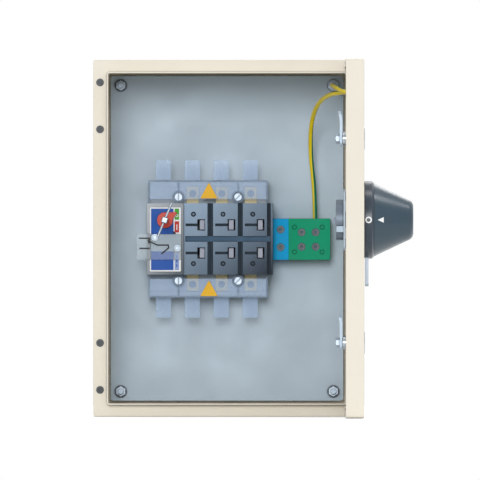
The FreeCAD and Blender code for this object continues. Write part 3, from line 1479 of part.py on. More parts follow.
def lug_frame(centre, out, along):
    """Turns a lug drawn flat, its ring axis along Y and its barrel towards +X, into its place."""
    side = along.cross(out)
    return FreeCAD.Placement(FreeCAD.Matrix(
        along.x, out.x, side.x, centre.x,
        along.y, out.y, side.y, centre.y,
        along.z, out.z, side.z, centre.z,
        0, 0, 0, 1
    ))


def lug_way(tilt):
    return V(math.cos(math.radians(tilt)), math.sin(math.radians(tilt)), 0)


def wire_seat(place, start, tilt):
    """Where a wire ends in the lug's barrel, and the way it leaves."""
    way = lug_way(tilt)
    seat = V(start[0], start[1], 0) + way * (LUG_BARREL_START + LUG_BARREL_LEN - LUG_BORE_DEEP)
    return place.multVec(seat), place.Rotation.multVec(way)


def make_lug(place, start, tilt):
    """A ring terminal with a crimped barrel bent off its ring."""
    way = lug_way(tilt)
    across = V(-way.y, way.x, 0)
    base = V(start[0], start[1], 0)
    ring = rod(0, 0, 0, RING_T, LUG_R)
    bend = base + way * LUG_BEND_RUN
    low = bend - across * LUG_STRAP_T / 2
    high = bend + across * LUG_STRAP_T / 2
    strap_points = [
        (LUG_STRAP_IN, 0),
        (start[0] + LUG_LOW_OUT, 0),
        (low.x, low.y),
        (high.x, high.y),
        (LUG_R + LUG_HIGH_OUT, RING_T),
        (LUG_STRAP_IN, RING_T),
    ]
    strap = prism_z(strap_points, -LUG_STRAP_HALF, LUG_STRAP_HALF)
    barrel = Part.makeCylinder(LUG_BARREL_R, LUG_BARREL_LEN, base + way * LUG_BARREL_START, way)
    seat = base + way * (LUG_BARREL_START + LUG_BARREL_LEN - LUG_BORE_DEEP)
    bore = Part.makeCylinder(WIRE_R, LUG_BORE_DEEP, seat, way)
    lug = minus(union([ring, strap, barrel]), [bore, rod(0, 0, -OVER, RING_T + OVER, STUD_R)])
    lug.Placement = place
    return lug


def door_lug_place(index):
    x, z = DOOR_STUDS[index]
    centre = V(HINGE_X - (DOOR_IN_Y + DOOR_STUD_COLLAR - HINGE_Y), HINGE_Y + x - HINGE_X, z)
    return lug_frame(centre, V(-1, 0, 0), V(0, 1, 0))


def plate_lug_place():
    centre = V(STUD_X / 2, PLATE_Y - WASHER_T, STUD_Z / 2)
    turn = math.radians(PLATE_LUG_TURN)
    return lug_frame(centre, V(0, -1, 0), V(math.cos(turn), 0, math.sin(turn)))


def wire_routes():
    """The points of the long and the short wire, from the plate side to the door."""
    long_end, long_way = wire_seat(door_lug_place(0), DOOR_LUG_START, DOOR_LUG_TILT)
    short_end, short_way = wire_seat(door_lug_place(1), DOOR_LUG_START, DOOR_LUG_TILT)
    short_start, start_way = wire_seat(plate_lug_place(), PLATE_LUG_START, PLATE_LUG_TILT)
    long_route = [V(EARTH_WIRES[1], WIRE_BLOCK_Y, LONG_START_Z)]
    long_route += [V(*point) for point in LONG_MIDDLE]
    long_route += [long_end + long_way * LONG_END_RUN, long_end]
    short_route = [short_start, short_start + start_way * SHORT_START_RUN]
    short_route += [V(*point) for point in SHORT_MIDDLE]
    short_route += [short_end + short_way * SHORT_END_RUN, short_end]
    return long_route, short_route


def route_tube(points, radius, name):
    """A tube along straight runs joined by tangent arcs."""
    corners = points
    edges = []
    start = corners[0]
    tightest = None
    for i in range(1, len(corners) - 1):
        before = corners[i - 1] - corners[i]
        after = corners[i + 1] - corners[i]
        turn = math.pi - before.getAngle(after)
        shorter = min(before.Length, after.Length)
        cut = ARC_SHARE * shorter
        arc_r = cut / math.tan(turn / 2)
        tightest = arc_r if tightest is None else min(tightest, arc_r)
        before.normalize()
        after.normalize()
        p0 = corners[i] + before * cut
        p1 = corners[i] + after * cut
        bisector = before + after
        bisector.normalize()
        reach = arc_r / math.cos(turn / 2)
        middle = corners[i] + bisector * (reach - arc_r)
        edges.append(Part.LineSegment(start, p0).toShape())
        edges.append(Part.Arc(p0, middle, p1).toShape())
        start = p1
    edges.append(Part.LineSegment(start, corners[-1]).toShape())
    path = Part.Wire(edges)
    first = corners[1] - corners[0]
    circle = Part.Wire(Part.makeCircle(radius, corners[0], first))
    solid = path.makePipeShell([circle], True, True)
    area = math.pi * radius * radius
    print(name, "length", round(path.Length, 1), "tightest", round(tightest, 1),
          "volume share", round(solid.Volume / (area * path.Length), 4))
    return solid


def make_door_studs():
    studs = []
    for x, z in DOOR_STUDS:
        collar = rod(x, z, DOOR_IN_Y, DOOR_IN_Y + DOOR_STUD_COLLAR, DOOR_STUD_COLLAR_R)
        shank = rod(x, z, DOOR_IN_Y + DOOR_STUD_COLLAR, DOOR_IN_Y + DOOR_STUD_LEN, STUD_R)
        studs.append(union([collar, shank]))
    return group(studs)


def make_door_stud_nuts():
    seat = DOOR_IN_Y + DOOR_STUD_COLLAR + RING_T
    return group([hexagon(x, z, seat, seat + NUT_T, NUT_FLATS, STUD_R) for x, z in DOOR_STUDS])


pieces = {}

pieces["body_shell"] = make_body_shell()
gland_gasket, gland_plate, gland_screws = make_gland_parts()
pieces["gland_gasket"] = gland_gasket
pieces["gland_plate"] = gland_plate
pieces["gland_screws"] = gland_screws
pieces["rim_plugs"] = make_rim_plugs()
plate, studs, washers, nuts = make_plate_parts()
pieces["mounting_plate"] = plate
pieces["plate_studs"] = studs
pieces["plate_washers"] = washers
pieces["plate_nuts"] = nuts
leaves, hinge_screws = make_hinge_body_leaves()
pieces["hinge_body_leaves"] = leaves
pieces["hinge_screws"] = hinge_screws

door_blocks, hinge_pins = make_hinge_door_parts()
pieces["hinge_door_blocks"] = opened(door_blocks)
pieces["hinge_pins"] = opened(hinge_pins)
pieces["door_panel"] = opened(make_door_panel())
pieces["door_gasket"] = opened(make_door_gasket())
pieces["lock_housings"] = opened(make_lock_housings())
for place, label in zip(lock_places(), ("top", "bottom")):
    pieces["latch_core_" + label] = opened(make_latch_core(*place))
    pieces["latch_tongue_" + label] = opened(make_latch_tongue(*place))
    pieces["latch_nut_" + label] = opened(make_latch_nut(*place))
pieces["handle_flange"] = opened(make_handle_flange())
pieces["flange_gasket"] = opened(make_flange_gasket())
pieces["padlock_tab"] = opened(make_padlock_tab())
pieces["handle_grip"] = opened(make_handle_grip())
pieces["drive_socket"] = opened(make_drive_socket())
pieces["backing_plate"] = opened(make_backing_plate())
sleeves, flange_screws = make_fixing_parts()
pieces["spacer_sleeves"] = opened(sleeves)
pieces["flange_screws"] = opened(flange_screws)
pieces["interlock_ring"] = opened(make_interlock_ring())
pieces["door_earth_studs"] = opened(make_door_studs())
pieces["door_stud_nuts"] = opened(make_door_stud_nuts())
pieces["door_ring_terminals"] = group([
    make_lug(door_lug_place(0), DOOR_LUG_START, DOOR_LUG_TILT),
    make_lug(door_lug_place(1), DOOR_LUG_START, DOOR_LUG_TILT),
])

pieces["switch_base"] = make_switch_base()
pieces["switch_screws"] = make_switch_screws()
pieces["pole_cover"] = make_pole_cover()
pieces["mechanism_cover"] = make_mechanism_cover()
pieces["shaft_bush"] = make_shaft_bush()
pieces["label_plate"] = make_label_plate()
top_contacts = [make_fixed_contact(x) for x in POLES_X]
pieces["fixed_contacts_top"] = group(top_contacts)
pieces["fixed_contacts_bottom"] = group([mirror_z(c) for c in top_contacts])
pieces["moving_contacts"] = group(make_moving_contacts())
pieces["contact_carriage"] = make_carriage()
pieces["drive_crank"] = make_drive_crank()
pieces["drive_shaft"] = make_drive_shaft()
pieces["cross_pin"] = make_cross_pin()
pieces["position_pointer"] = make_position_pointer()
shroud = make_shroud()
pieces["shroud_top"] = shroud
pieces["shroud_bottom"] = mirror_z(shroud)
pieces["cover_screws"] = make_cover_screws()
pieces["triangle_plates"] = make_triangles()
pieces["aux_cover"] = make_aux_cover()
pieces["neutral_block"] = conductor_block(SW_RIGHT, NEUTRAL_RIGHT, NEUTRAL_SCREWS, (), NEUTRAL_WIRES)
pieces["earth_block"] = conductor_block(NEUTRAL_RIGHT, EARTH_RIGHT, EARTH_SCREWS, EARTH_RINGS, EARTH_WIRES)
pieces["block_bars"] = group([
    block_bar(SW_RIGHT, NEUTRAL_RIGHT, NEUTRAL_SCREWS),
    block_bar(NEUTRAL_RIGHT, EARTH_RIGHT, EARTH_SCREWS),
])
pieces["block_screws"] = make_block_screws()
long_route, short_route = wire_routes()
pieces["earth_wire_long"] = route_tube(long_route, WIRE_R, "long wire")
pieces["earth_wire_short"] = route_tube(short_route, WIRE_R, "short wire")
pieces["plate_ring_terminal"] = make_lug(plate_lug_place(), PLATE_LUG_START, PLATE_LUG_TILT)

os.makedirs("parts", exist_ok=True)
for name, shape in pieces.items():
    shape.exportStep("parts/" + name + ".step")
print(len(pieces), "nodes")
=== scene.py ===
import json
import math
from collections import namedtuple

import bmesh
import bpy
from mathutils import Matrix, Vector


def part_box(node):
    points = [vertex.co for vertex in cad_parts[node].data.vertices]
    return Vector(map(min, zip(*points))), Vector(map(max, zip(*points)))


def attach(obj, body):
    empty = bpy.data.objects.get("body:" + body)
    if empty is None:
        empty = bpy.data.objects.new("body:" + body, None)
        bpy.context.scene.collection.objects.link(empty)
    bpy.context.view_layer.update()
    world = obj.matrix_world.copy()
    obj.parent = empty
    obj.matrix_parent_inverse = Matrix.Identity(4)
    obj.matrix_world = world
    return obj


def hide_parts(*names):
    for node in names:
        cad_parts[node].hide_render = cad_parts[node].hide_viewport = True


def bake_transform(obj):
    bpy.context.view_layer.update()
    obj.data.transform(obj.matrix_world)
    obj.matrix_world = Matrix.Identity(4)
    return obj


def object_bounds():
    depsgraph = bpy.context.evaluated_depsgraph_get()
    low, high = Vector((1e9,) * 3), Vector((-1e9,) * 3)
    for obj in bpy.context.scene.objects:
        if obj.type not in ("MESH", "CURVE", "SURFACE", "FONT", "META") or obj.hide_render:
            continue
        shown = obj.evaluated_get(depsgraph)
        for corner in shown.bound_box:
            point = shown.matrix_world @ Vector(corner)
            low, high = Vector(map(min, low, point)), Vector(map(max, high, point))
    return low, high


# Enclosed isolator switch: ivory coated steel box with the door open, zinc mounting plate,
# dark moulded three-pole switch, tinted terminal shrouds, and a slate coloured rotary handle.
# X points to the right, +Y into the wall and +Z up. Sizes are in millimetres, except those of
# the wires' routes, the lamps and the floor, which are in metres.

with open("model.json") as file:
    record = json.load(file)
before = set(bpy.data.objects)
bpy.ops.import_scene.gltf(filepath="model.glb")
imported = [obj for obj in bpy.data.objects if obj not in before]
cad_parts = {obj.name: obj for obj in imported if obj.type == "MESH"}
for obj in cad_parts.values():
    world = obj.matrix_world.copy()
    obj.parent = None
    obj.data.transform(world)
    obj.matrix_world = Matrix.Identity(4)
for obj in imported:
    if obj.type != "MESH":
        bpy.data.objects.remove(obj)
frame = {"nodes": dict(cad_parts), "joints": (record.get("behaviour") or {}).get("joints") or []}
cad_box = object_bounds()

MM = 0.001

# Places taken from the frame
label_low, label_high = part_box("label_plate")
bush_low, bush_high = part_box("shaft_bush")
flange_low, flange_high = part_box("handle_flange")
handle_joint = next(joint for joint in frame["joints"] if joint["name"] == "handle_turn")
LABEL_FACE = label_low.y / MM
AUX_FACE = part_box("aux_cover")[0].y / MM
POLE_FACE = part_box("pole_cover")[0].y / MM
SHAFT_X = (bush_low.x + bush_high.x) / 2 / MM
SHAFT_Z = (bush_low.z + bush_high.z) / 2 / MM
HANDLE_Y = handle_joint["pos_m"][1] / MM
HANDLE_Z = handle_joint["pos_m"][2] / MM
FLANGE_X = flange_low.x / MM
FLANGE_R = (flange_high.z - flange_low.z) / 2 / MM
GRIP_TIP_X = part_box("handle_grip")[1].x / MM

# The handle's cone
GRIP_CONE_X = 163.4
GRIP_BASE_R = 40.6
GRIP_TIP_R = 20.0

# The front of the switch: where its painted light turns to painted shade, its recesses and its middle band
COVER_TOP_Z = 40
COVER_BOTTOM_Z = -42
POLES_LEFT_X = -50
POLES_RIGHT_X = 52
DRIVE_LEFT_X = -92
DRIVE_RIGHT_X = -46
RECESS_FROM = 0.5
RECESS_FULL = 2
MIDDLE_BAND_Z = -0.6
MIDDLE_BAND_HALF = 3.3
BUSH_FACE_R = 9.0

# Threads: a wave texture repeats every 2 pi / 20 of its place
THREAD_PITCH = 1.0
THREAD_DEPTH = 0.25
WAVE_UNIT = 20.0

# Ink
INK = 0.06
INK_LIFT = 0.02
WHITE_INK = "#F4F6F7"
BLUE_INK = "#0054B4"
PALE_BLUE_INK = "#93A9DC"
GREY_INK = "#A9BAC8"
GREEN_INK = "#3CA51C"
RED_INK = "#C41E14"
BLACK_INK = "#101418"

# Earth wires: the green stripe takes a little over a third of the way round
WIRE_D = 5.0
STRIPE_SHARE = 0.34
STRIPE_GREEN = "#0B7B5A"
WIRE_UV = "along_and_around"

# Painted shade in the crevices: the dark colour a finish turns towards where its surface is hemmed in
CREVICE_SHADE_COLOUR = "#1C2026"
CREVICE_SHADE_NODE = "painted crevice shade"


# Materials

def linear(code):
    """A hex sRGB colour as linear RGBA."""
    channels = [int(code[i:i + 2], 16) / 255 for i in (1, 3, 5)]
    return [c / 12.92 if c <= 0.04045 else ((c + 0.055) / 1.055) ** 2.4 for c in channels] + [1.0]


def put(tree, kind, inputs=None, **settings):
    """Adds a node: settings are its own, and inputs are values or the sockets of other nodes."""
    node = tree.nodes.new(kind)
    for name, value in settings.items():
        setattr(node, name, value)
    for name, value in (inputs or {}).items():
        if isinstance(value, bpy.types.NodeSocket):
            tree.links.new(value, node.inputs[name])
        else:
            node.inputs[name].default_value = value
    return node


def finish(name, light, dark, rough, grain_mm, deep_mm, patch_mm=35.0, edge_mm=0.3, lie=(1, 1, 1),
           rough_play=0.06, crevice_shade=0.45, reach_mm=2.2, **sockets):
    """Two close colours in soft patches, painted shade in the crevices, a pressed-in grain, and soft edges.

    The grain of mouldings and coats is finer than this in truth: it is drawn as coarse as it needs to
    show. Further sockets of the shader go by their names, as specular_ior_level does.
    """
    material = bpy.data.materials.new(name)
    material.use_nodes = True
    tree = material.node_tree
    shader = tree.nodes["Principled BSDF"]
    place = put(tree, "ShaderNodeTexCoord").outputs["Object"]
    laid = put(tree, "ShaderNodeMapping", {"Vector": place, "Scale": lie}).outputs["Vector"]
    patches = put(tree, "ShaderNodeTexNoise", {"Vector": place, "Scale": 1 / (patch_mm * MM), "Detail": 4.0})
    grain = put(tree, "ShaderNodeTexNoise", {"Vector": laid, "Scale": 1 / (grain_mm * MM), "Detail": 2.0})
    colour = put(tree, "ShaderNodeMixRGB", {
        "Fac": patches.outputs["Fac"], "Color1": linear(dark), "Color2": linear(light)})
    spread = put(tree, "ShaderNodeMapRange", {
        "Value": patches.outputs["Fac"], "From Min": 0.3, "From Max": 0.7,
        "To Min": rough - rough_play, "To Max": rough + rough_play})
    # Painted shade: where ambient occlusion finds the surface hemmed in, the colour darkens towards the
    # crevice shade colour
    openness = put(tree, "ShaderNodeAmbientOcclusion", {"Distance": reach_mm * MM}, samples=8)
    crevice = put(tree, "ShaderNodeMapRange", {
        "Value": openness.outputs["AO"], "From Min": 0.35, "From Max": 0.9,
        "To Min": crevice_shade, "To Max": 0.0})
    crevice_shaded = put(tree, "ShaderNodeMixRGB", {
        "Fac": crevice.outputs["Result"], "Color1": colour.outputs["Color"], "Color2": linear(CREVICE_SHADE_COLOUR)},
        label=CREVICE_SHADE_NODE)
    edge = put(tree, "ShaderNodeBevel", {"Radius": edge_mm * MM}, samples=4)
    bump = put(tree, "ShaderNodeBump", {
        "Height": grain.outputs["Fac"], "Distance": deep_mm * MM, "Strength": 1.0,
        "Normal": edge.outputs["Normal"]})
    tree.links.new(crevice_shaded.outputs["Color"], shader.inputs["Base Color"])
    tree.links.new(spread.outputs["Result"], shader.inputs["Roughness"])
    tree.links.new(bump.outputs["Normal"], shader.inputs["Normal"])
    for socket, value in sockets.items():
        shader.inputs[socket.replace("_", " ").title().replace("Ior", "IOR")].default_value = value
    return material


def part_of(material, kind):
    """The first node of a kind in a material."""
    return next(node for node in material.node_tree.nodes if node.bl_idname == kind)


def recolour(material, socket):
    """Puts another colour under a finish's painted crevice shade."""
    tree = material.node_tree
    crevice_shaded = next(node for node in tree.nodes if node.label == CREVICE_SHADE_NODE)
    tree.links.new(socket, crevice_shaded.inputs["Color1"])


def place_axes(material):
    """The X, Y and Z of a finish's place on the object."""
    place = part_of(material, "ShaderNodeTexCoord").outputs["Object"]
    return put(material.node_tree, "ShaderNodeSeparateXYZ", {"Vector": place}).outputs


def painted_light_gradient(material, axes, left, right, light, dark):
    """Painted light and shade on a moulding: lighter at the upper left, darker to the lower right, between
    two places along X.
    """
    tree = material.node_tree
    across = put(tree, "ShaderNodeMapRange", {
        "Value": axes["X"], "From Min": left * MM, "From Max": right * MM, "To Min": 0.0, "To Max": 0.5})
    down = put(tree, "ShaderNodeMapRange", {
        "Value": axes["Z"], "From Min": COVER_TOP_Z * MM, "From Max": COVER_BOTTOM_Z * MM,
        "To Min": 0.0, "To Max": 0.5})
    both = put(tree, "ShaderNodeMath", {0: across.outputs["Result"], 1: down.outputs["Result"]},
               operation="ADD")
    shaded = put(tree, "ShaderNodeMixRGB", {
        "Fac": both.outputs["Value"], "Color1": linear(light), "Color2": linear(dark)})
    return shaded.outputs["Color"]


def powder_coat():
    """Polyester powder coat baked on sheet steel: even ivory, a soft sheen and fine orange peel."""
    return finish(
        "polyester_powder_coat", "#E7E0D1", "#E3DBCB", rough=0.45, grain_mm=1.6, deep_mm=0.03,
        edge_mm=0.8, crevice_shade=0.6, reach_mm=3.0)


def galvanised_sheet():
    """Zinc-plated sheet, passivated blue: a dull metal with level drawn lines and cloudy patches."""
    return finish(
        "blue_passivated_zinc_sheet", "#B2C1CE", "#A9B9C6", rough=0.5, grain_mm=3.0, deep_mm=0.004,
        patch_mm=60.0, lie=(1, 1, 9), crevice_shade=0.6, metallic=0.2)


def zinc_fastener():
    """Bright zinc on turned and pressed fasteners: a light metal with a faint blue cast."""
    return finish(
        "bright_zinc_fasteners", "#B2BECB", "#9CA9B6", rough=0.42, grain_mm=0.7, deep_mm=0.004,
        patch_mm=4.0, edge_mm=0.25, crevice_shade=0.8, reach_mm=2.6, metallic=0.6)


def blackened_washer():
    """Blackened spring steel of the plate's washers: dark grey with a dull gleam."""
    return finish(
        "blackened_washers", "#555C66", "#474D57", rough=0.45, grain_mm=0.7, deep_mm=0.006,
        patch_mm=5.0, crevice_shade=0.7, metallic=0.4)


def zinc_in_painted_shade():
    """Zinc on the clamp screws, painted darker than the bright zinc as shade down in their holes: grey, with
    hardly a gleam.
    """
    return finish(
        "zinc_heads_painted_shade", "#5C6A72", "#4C595F", rough=0.45, grain_mm=0.7, deep_mm=0.006,
        patch_mm=4.0, crevice_shade=0.9, metallic=0.3)


def threaded_zinc():
    """Zinc on rolled threads along Y: the thread shows as fine ridges, one pitch apart."""
    material = finish(
        "zinc_on_threads", "#94A0AC", "#7E8A96", rough=0.36, grain_mm=0.7, deep_mm=0.004,
        patch_mm=4.0, crevice_shade=0.8, metallic=0.6)
    tree = material.node_tree
    place = part_of(material, "ShaderNodeTexCoord").outputs["Object"]
    ridges = put(tree, "ShaderNodeTexWave", {
        "Vector": place, "Scale": 2 * math.pi / (WAVE_UNIT * THREAD_PITCH * MM), "Distortion": 0.0},
        bands_direction="Y")
    ridge_bump = put(tree, "ShaderNodeBump", {
        "Height": ridges.outputs["Fac"], "Distance": THREAD_DEPTH * MM, "Strength": 1.0,
        "Normal": part_of(material, "ShaderNodeBump").outputs["Normal"]})
    shader = tree.nodes["Principled BSDF"]
    tree.links.new(ridge_bump.outputs["Normal"], shader.inputs["Normal"])
    return material


def nickel_latch():
    """Nickel on the pressed lock tongues and the lock cores: pale, almost white, with a fine brush."""
    return finish(
        "brushed_nickel", "#C0D0DF", "#AEC0D0", rough=0.46, grain_mm=1.2, deep_mm=0.004,
        patch_mm=9.0, lie=(6, 6, 1), crevice_shade=0.9, reach_mm=3.0, metallic=0.25)


def brushed_steel():
    """Brushed stainless steel of the padlock tab and the cross pin: cool grey with upright lines."""
    return finish(
        "brushed_stainless_steel", "#AEB7C3", "#9AA4B1", rough=0.36, grain_mm=1.0, deep_mm=0.005,
        patch_mm=9.0, lie=(6, 6, 1), crevice_shade=0.7, metallic=0.6)


def die_cast_chrome():
    """Chrome on the die-cast lock housings: the brightest metal here, with soft waves."""
    return finish(
        "chrome_on_die_casting", "#B9C1C9", "#A7B0B9", rough=0.2, grain_mm=2.5, deep_mm=0.01,
        rough_play=0.03, crevice_shade=0.8, metallic=0.8)


def die_cast_grey():
    """Bare die-cast zinc of the interlock ring: mid grey with a slightly grainy skin."""
    return finish(
        "die_cast_zinc", "#808B98", "#606C79", rough=0.45, grain_mm=0.9, deep_mm=0.02,
        patch_mm=8.0, crevice_shade=1.0, reach_mm=3.0, metallic=0.4)


def hinge_casting():
    """Dark coated die-cast hinge leaves: dull grey with a slight grain."""
    return finish(
        "dark_coated_casting", "#6A6F73", "#54595D", rough=0.45, grain_mm=0.8, deep_mm=0.02,
        patch_mm=9.0, metallic=0.4)


def moulded_foam():
    """Poured polyurethane seal: black, matt, with the skin of closed cells."""
    return finish(
        "poured_foam_seal", "#33373B", "#22262A", rough=0.85, grain_mm=0.9, deep_mm=0.12,
        patch_mm=12.0, edge_mm=1.2)


def solid_rubber():
    """Cut rubber sheet: black and matt."""
    return finish(
        "cut_rubber_sheet", "#24272B", "#191C1F", rough=0.75, grain_mm=0.6, deep_mm=0.03,
        patch_mm=10.0)


def pole_moulding():
    """Glass-filled polyester, compression moulded: slate grey, with painted light at the upper left, and
    painted shade to the right and in its recesses.
    """
    material = finish(
        "glass_filled_polyester", "#5B6672", "#535E6A", rough=0.48, grain_mm=0.5, deep_mm=0.03,
        patch_mm=18.0, edge_mm=0.5, crevice_shade=0.8, specular_ior_level=0.15)
    tree = material.node_tree
    axes = place_axes(material)
    # Painted light and shade: lighter at the upper left, darker to the lower right
    shaded = painted_light_gradient(material, axes, POLES_LEFT_X, POLES_RIGHT_X, "#A6BED8", "#021629")
    # Painted shade in the recesses: faces set back from the front turn dark, less dark in the middle band
    recess_shade = put(tree, "ShaderNodeMapRange", {
        "Value": axes["Y"], "From Min": (POLE_FACE + RECESS_FROM) * MM,
        "From Max": (POLE_FACE + RECESS_FULL) * MM})
    in_band = put(tree, "ShaderNodeMath", {
        0: axes["Z"], 1: MIDDLE_BAND_Z * MM, 2: MIDDLE_BAND_HALF * MM}, operation="COMPARE")
    recess = put(tree, "ShaderNodeMixRGB", {
        "Fac": in_band.outputs["Value"], "Color1": linear("#1E3242"), "Color2": linear("#44607A")})
    coloured = put(tree, "ShaderNodeMixRGB", {
        "Fac": recess_shade.outputs["Result"], "Color1": shaded, "Color2": recess.outputs["Color"]})
    recolour(material, coloured.outputs["Color"])
    return material


def drive_moulding():
    """The drive's housing in the same moulded polyester: grey, with painted light at its upper left and
    painted shade to the lower right.
    """
    material = finish(
        "polyester_housing_grey", "#828E9C", "#6F7B8A", rough=0.45, grain_mm=0.5, deep_mm=0.03,
        patch_mm=30.0, edge_mm=0.7, crevice_shade=0.7, specular_ior_level=0.3)
    # Painted light and shade: lighter at the upper left, darker to the lower right
    shaded = painted_light_gradient(material, place_axes(material), DRIVE_LEFT_X, DRIVE_RIGHT_X, "#C8D0D9", "#3C4955")
    recolour(material, shaded)
    return material


def base_moulding():
    """The switch's base in the same moulded polyester: pale blue-grey and dull."""
    return finish(
        "pale_grey_polyester", "#D3DFEA", "#C6D3DF", rough=0.45, grain_mm=0.5, deep_mm=0.03,
        patch_mm=20.0, edge_mm=0.5, crevice_shade=0.3)


def handle_moulding():
    """ABS of the grip, injection moulded: slate blue with a fine spark-eroded grain and a soft sheen."""
    return finish(
        "slate_abs_grip", "#304857", "#273C49", rough=0.3, grain_mm=0.45, deep_mm=0.012,
        patch_mm=30.0, edge_mm=0.5, crevice_shade=0.8)


def flange_moulding():
    """ABS of the fixed flange under the grip: the same grain, a little greyer and duller."""
    return finish(
        "slate_abs_flange", "#2F3C4C", "#283442", rough=0.32, grain_mm=0.45, deep_mm=0.012,
        patch_mm=30.0, edge_mm=0.5, crevice_shade=0.8)


def black_moulding():
    """Polyamide of the plugs and of the drive's small mouldings: black with a dull sheen."""
    return finish(
        "black_polyamide", "#3B4147", "#2B3036", rough=0.45, grain_mm=0.4, deep_mm=0.015,
        patch_mm=12.0)


def carriage_moulding():
    """Polyamide of the contact carriage: pale lilac, so that it shows in the windows."""
    return finish(
        "lilac_polyamide", "#ABB0C2", "#9CA1B4", rough=0.45, grain_mm=0.5, deep_mm=0.01,
        patch_mm=10.0)


def shroud_moulding():
    """Blue-tinted polycarbonate, injection moulded: the terminals behind show as pale shapes."""
    return finish(
        "blue_tinted_polycarbonate", "#BCDCFF", "#B0D2FF", rough=0.25, grain_mm=6.0, deep_mm=0.01,
        patch_mm=40.0, edge_mm=0.5, crevice_shade=0.2, reach_mm=1.6, alpha=0.32)


def clear_sheet():
    """Clear polycarbonate of the auxiliary contact's cover: almost unseen, with a faint haze."""
    return finish(
        "clear_polycarbonate", "#E4F4FF", "#D8EAF8", rough=0.2, grain_mm=6.0, deep_mm=0.01,
        patch_mm=30.0, edge_mm=0.4, crevice_shade=0.0, reach_mm=1.2, alpha=0.22)


def tinned_copper():
    """Tinned and lacquered copper bars: warm, pale and satin."""
    return finish(
        "tinned_copper", "#FFEFB8", "#FFE9A8", rough=0.34, grain_mm=1.0, deep_mm=0.006,
        patch_mm=7.0, lie=(1, 1, 5), crevice_shade=0.1)


def plain_brass():
    """Drawn brass of the clamp bars: yellow metal with fine upright lines."""
    return finish(
        "drawn_brass", "#D9B865", "#C7A452", rough=0.3, grain_mm=1.0, deep_mm=0.005,
        patch_mm=7.0, lie=(5, 1, 1), metallic=0.95)


def blue_polyamide():
    """Polyamide of the neutral block, injection moulded: even light blue and dull."""
    return finish(
        "light_blue_polyamide", "#00B6F6", "#00AAEA", rough=0.45, grain_mm=0.5, deep_mm=0.02,
        patch_mm=14.0, edge_mm=0.5, specular_ior_level=0.1)


def green_polyamide():
    """Polyamide of the earth block, injection moulded: even green and dull."""
    return finish(
        "green_polyamide", "#00AC80", "#00A074", rough=0.45, grain_mm=0.5, deep_mm=0.02,
        patch_mm=14.0, edge_mm=0.5, crevice_shade=0.7, specular_ior_level=0.1)


def red_acetal():
    """Red acetal of the position pointer: dense, glossy and slightly waxy."""
    return finish(
        "red_acetal", "#DC4029", "#D03822", rough=0.3, grain_mm=1.5, deep_mm=0.005,
        patch_mm=10.0, specular_ior_level=0.25)


def yellow_film():
    """Plates cut from yellow plastic sheet on the shrouds: flat colour with a slight sheen."""
    return finish(
        "yellow_plastic_plate", "#FFC922", "#FFC01A", rough=0.4, grain_mm=2.0, deep_mm=0.004,
        patch_mm=10.0, specular_ior_level=0.2)


def label_film():
    """Polyester film of the label: clean white with a slight sheen."""
    return finish(
        "white_polyester_film", "#F5F7F8", "#EDF0F2", rough=0.38, grain_mm=2.0, deep_mm=0.004,
        patch_mm=14.0)


def ink(name, colour):
    """Screen-printing ink: flat, even colour with a slight sheen."""
    return finish(
        "ink_" + name, colour, colour, rough=0.4, grain_mm=0.8, deep_mm=0.003,
        edge_mm=0.02, specular_ior_level=0.2)


def wire_insulation(turn, twist):
    """Yellow PVC with a green stripe extruded along it, which lies straight or winds slowly round."""
    material = finish(
        "green_yellow_pvc", "#FFE622", "#FFDD18", rough=0.3, grain_mm=0.8, deep_mm=0.01,
        edge_mm=0.05, crevice_shade=0.2)
    tree = material.node_tree
    yellow = part_of(material, "ShaderNodeMixRGB").outputs["Color"]
    lie = put(tree, "ShaderNodeSeparateXYZ", {
        "Vector": put(tree, "ShaderNodeUVMap", uv_map=WIRE_UV).outputs["UV"]})
    wound = put(tree, "ShaderNodeMath", {0: lie.outputs["X"], 1: twist, 2: turn}, operation="MULTIPLY_ADD")
    turned = put(tree, "ShaderNodeMath", {0: lie.outputs["Y"], 1: wound.outputs["Value"]}, operation="ADD")
    share = put(tree, "ShaderNodeMath", {0: turned.outputs["Value"]}, operation="FRACT")
    stripe = put(tree, "ShaderNodeMath", {0: share.outputs["Value"], 1: STRIPE_SHARE}, operation="LESS_THAN")
    striped = put(tree, "ShaderNodeMixRGB", {
        "Fac": stripe.outputs["Value"], "Color1": yellow, "Color2": linear(STRIPE_GREEN)})
    recolour(material, striped.outputs["Color"])
    return material


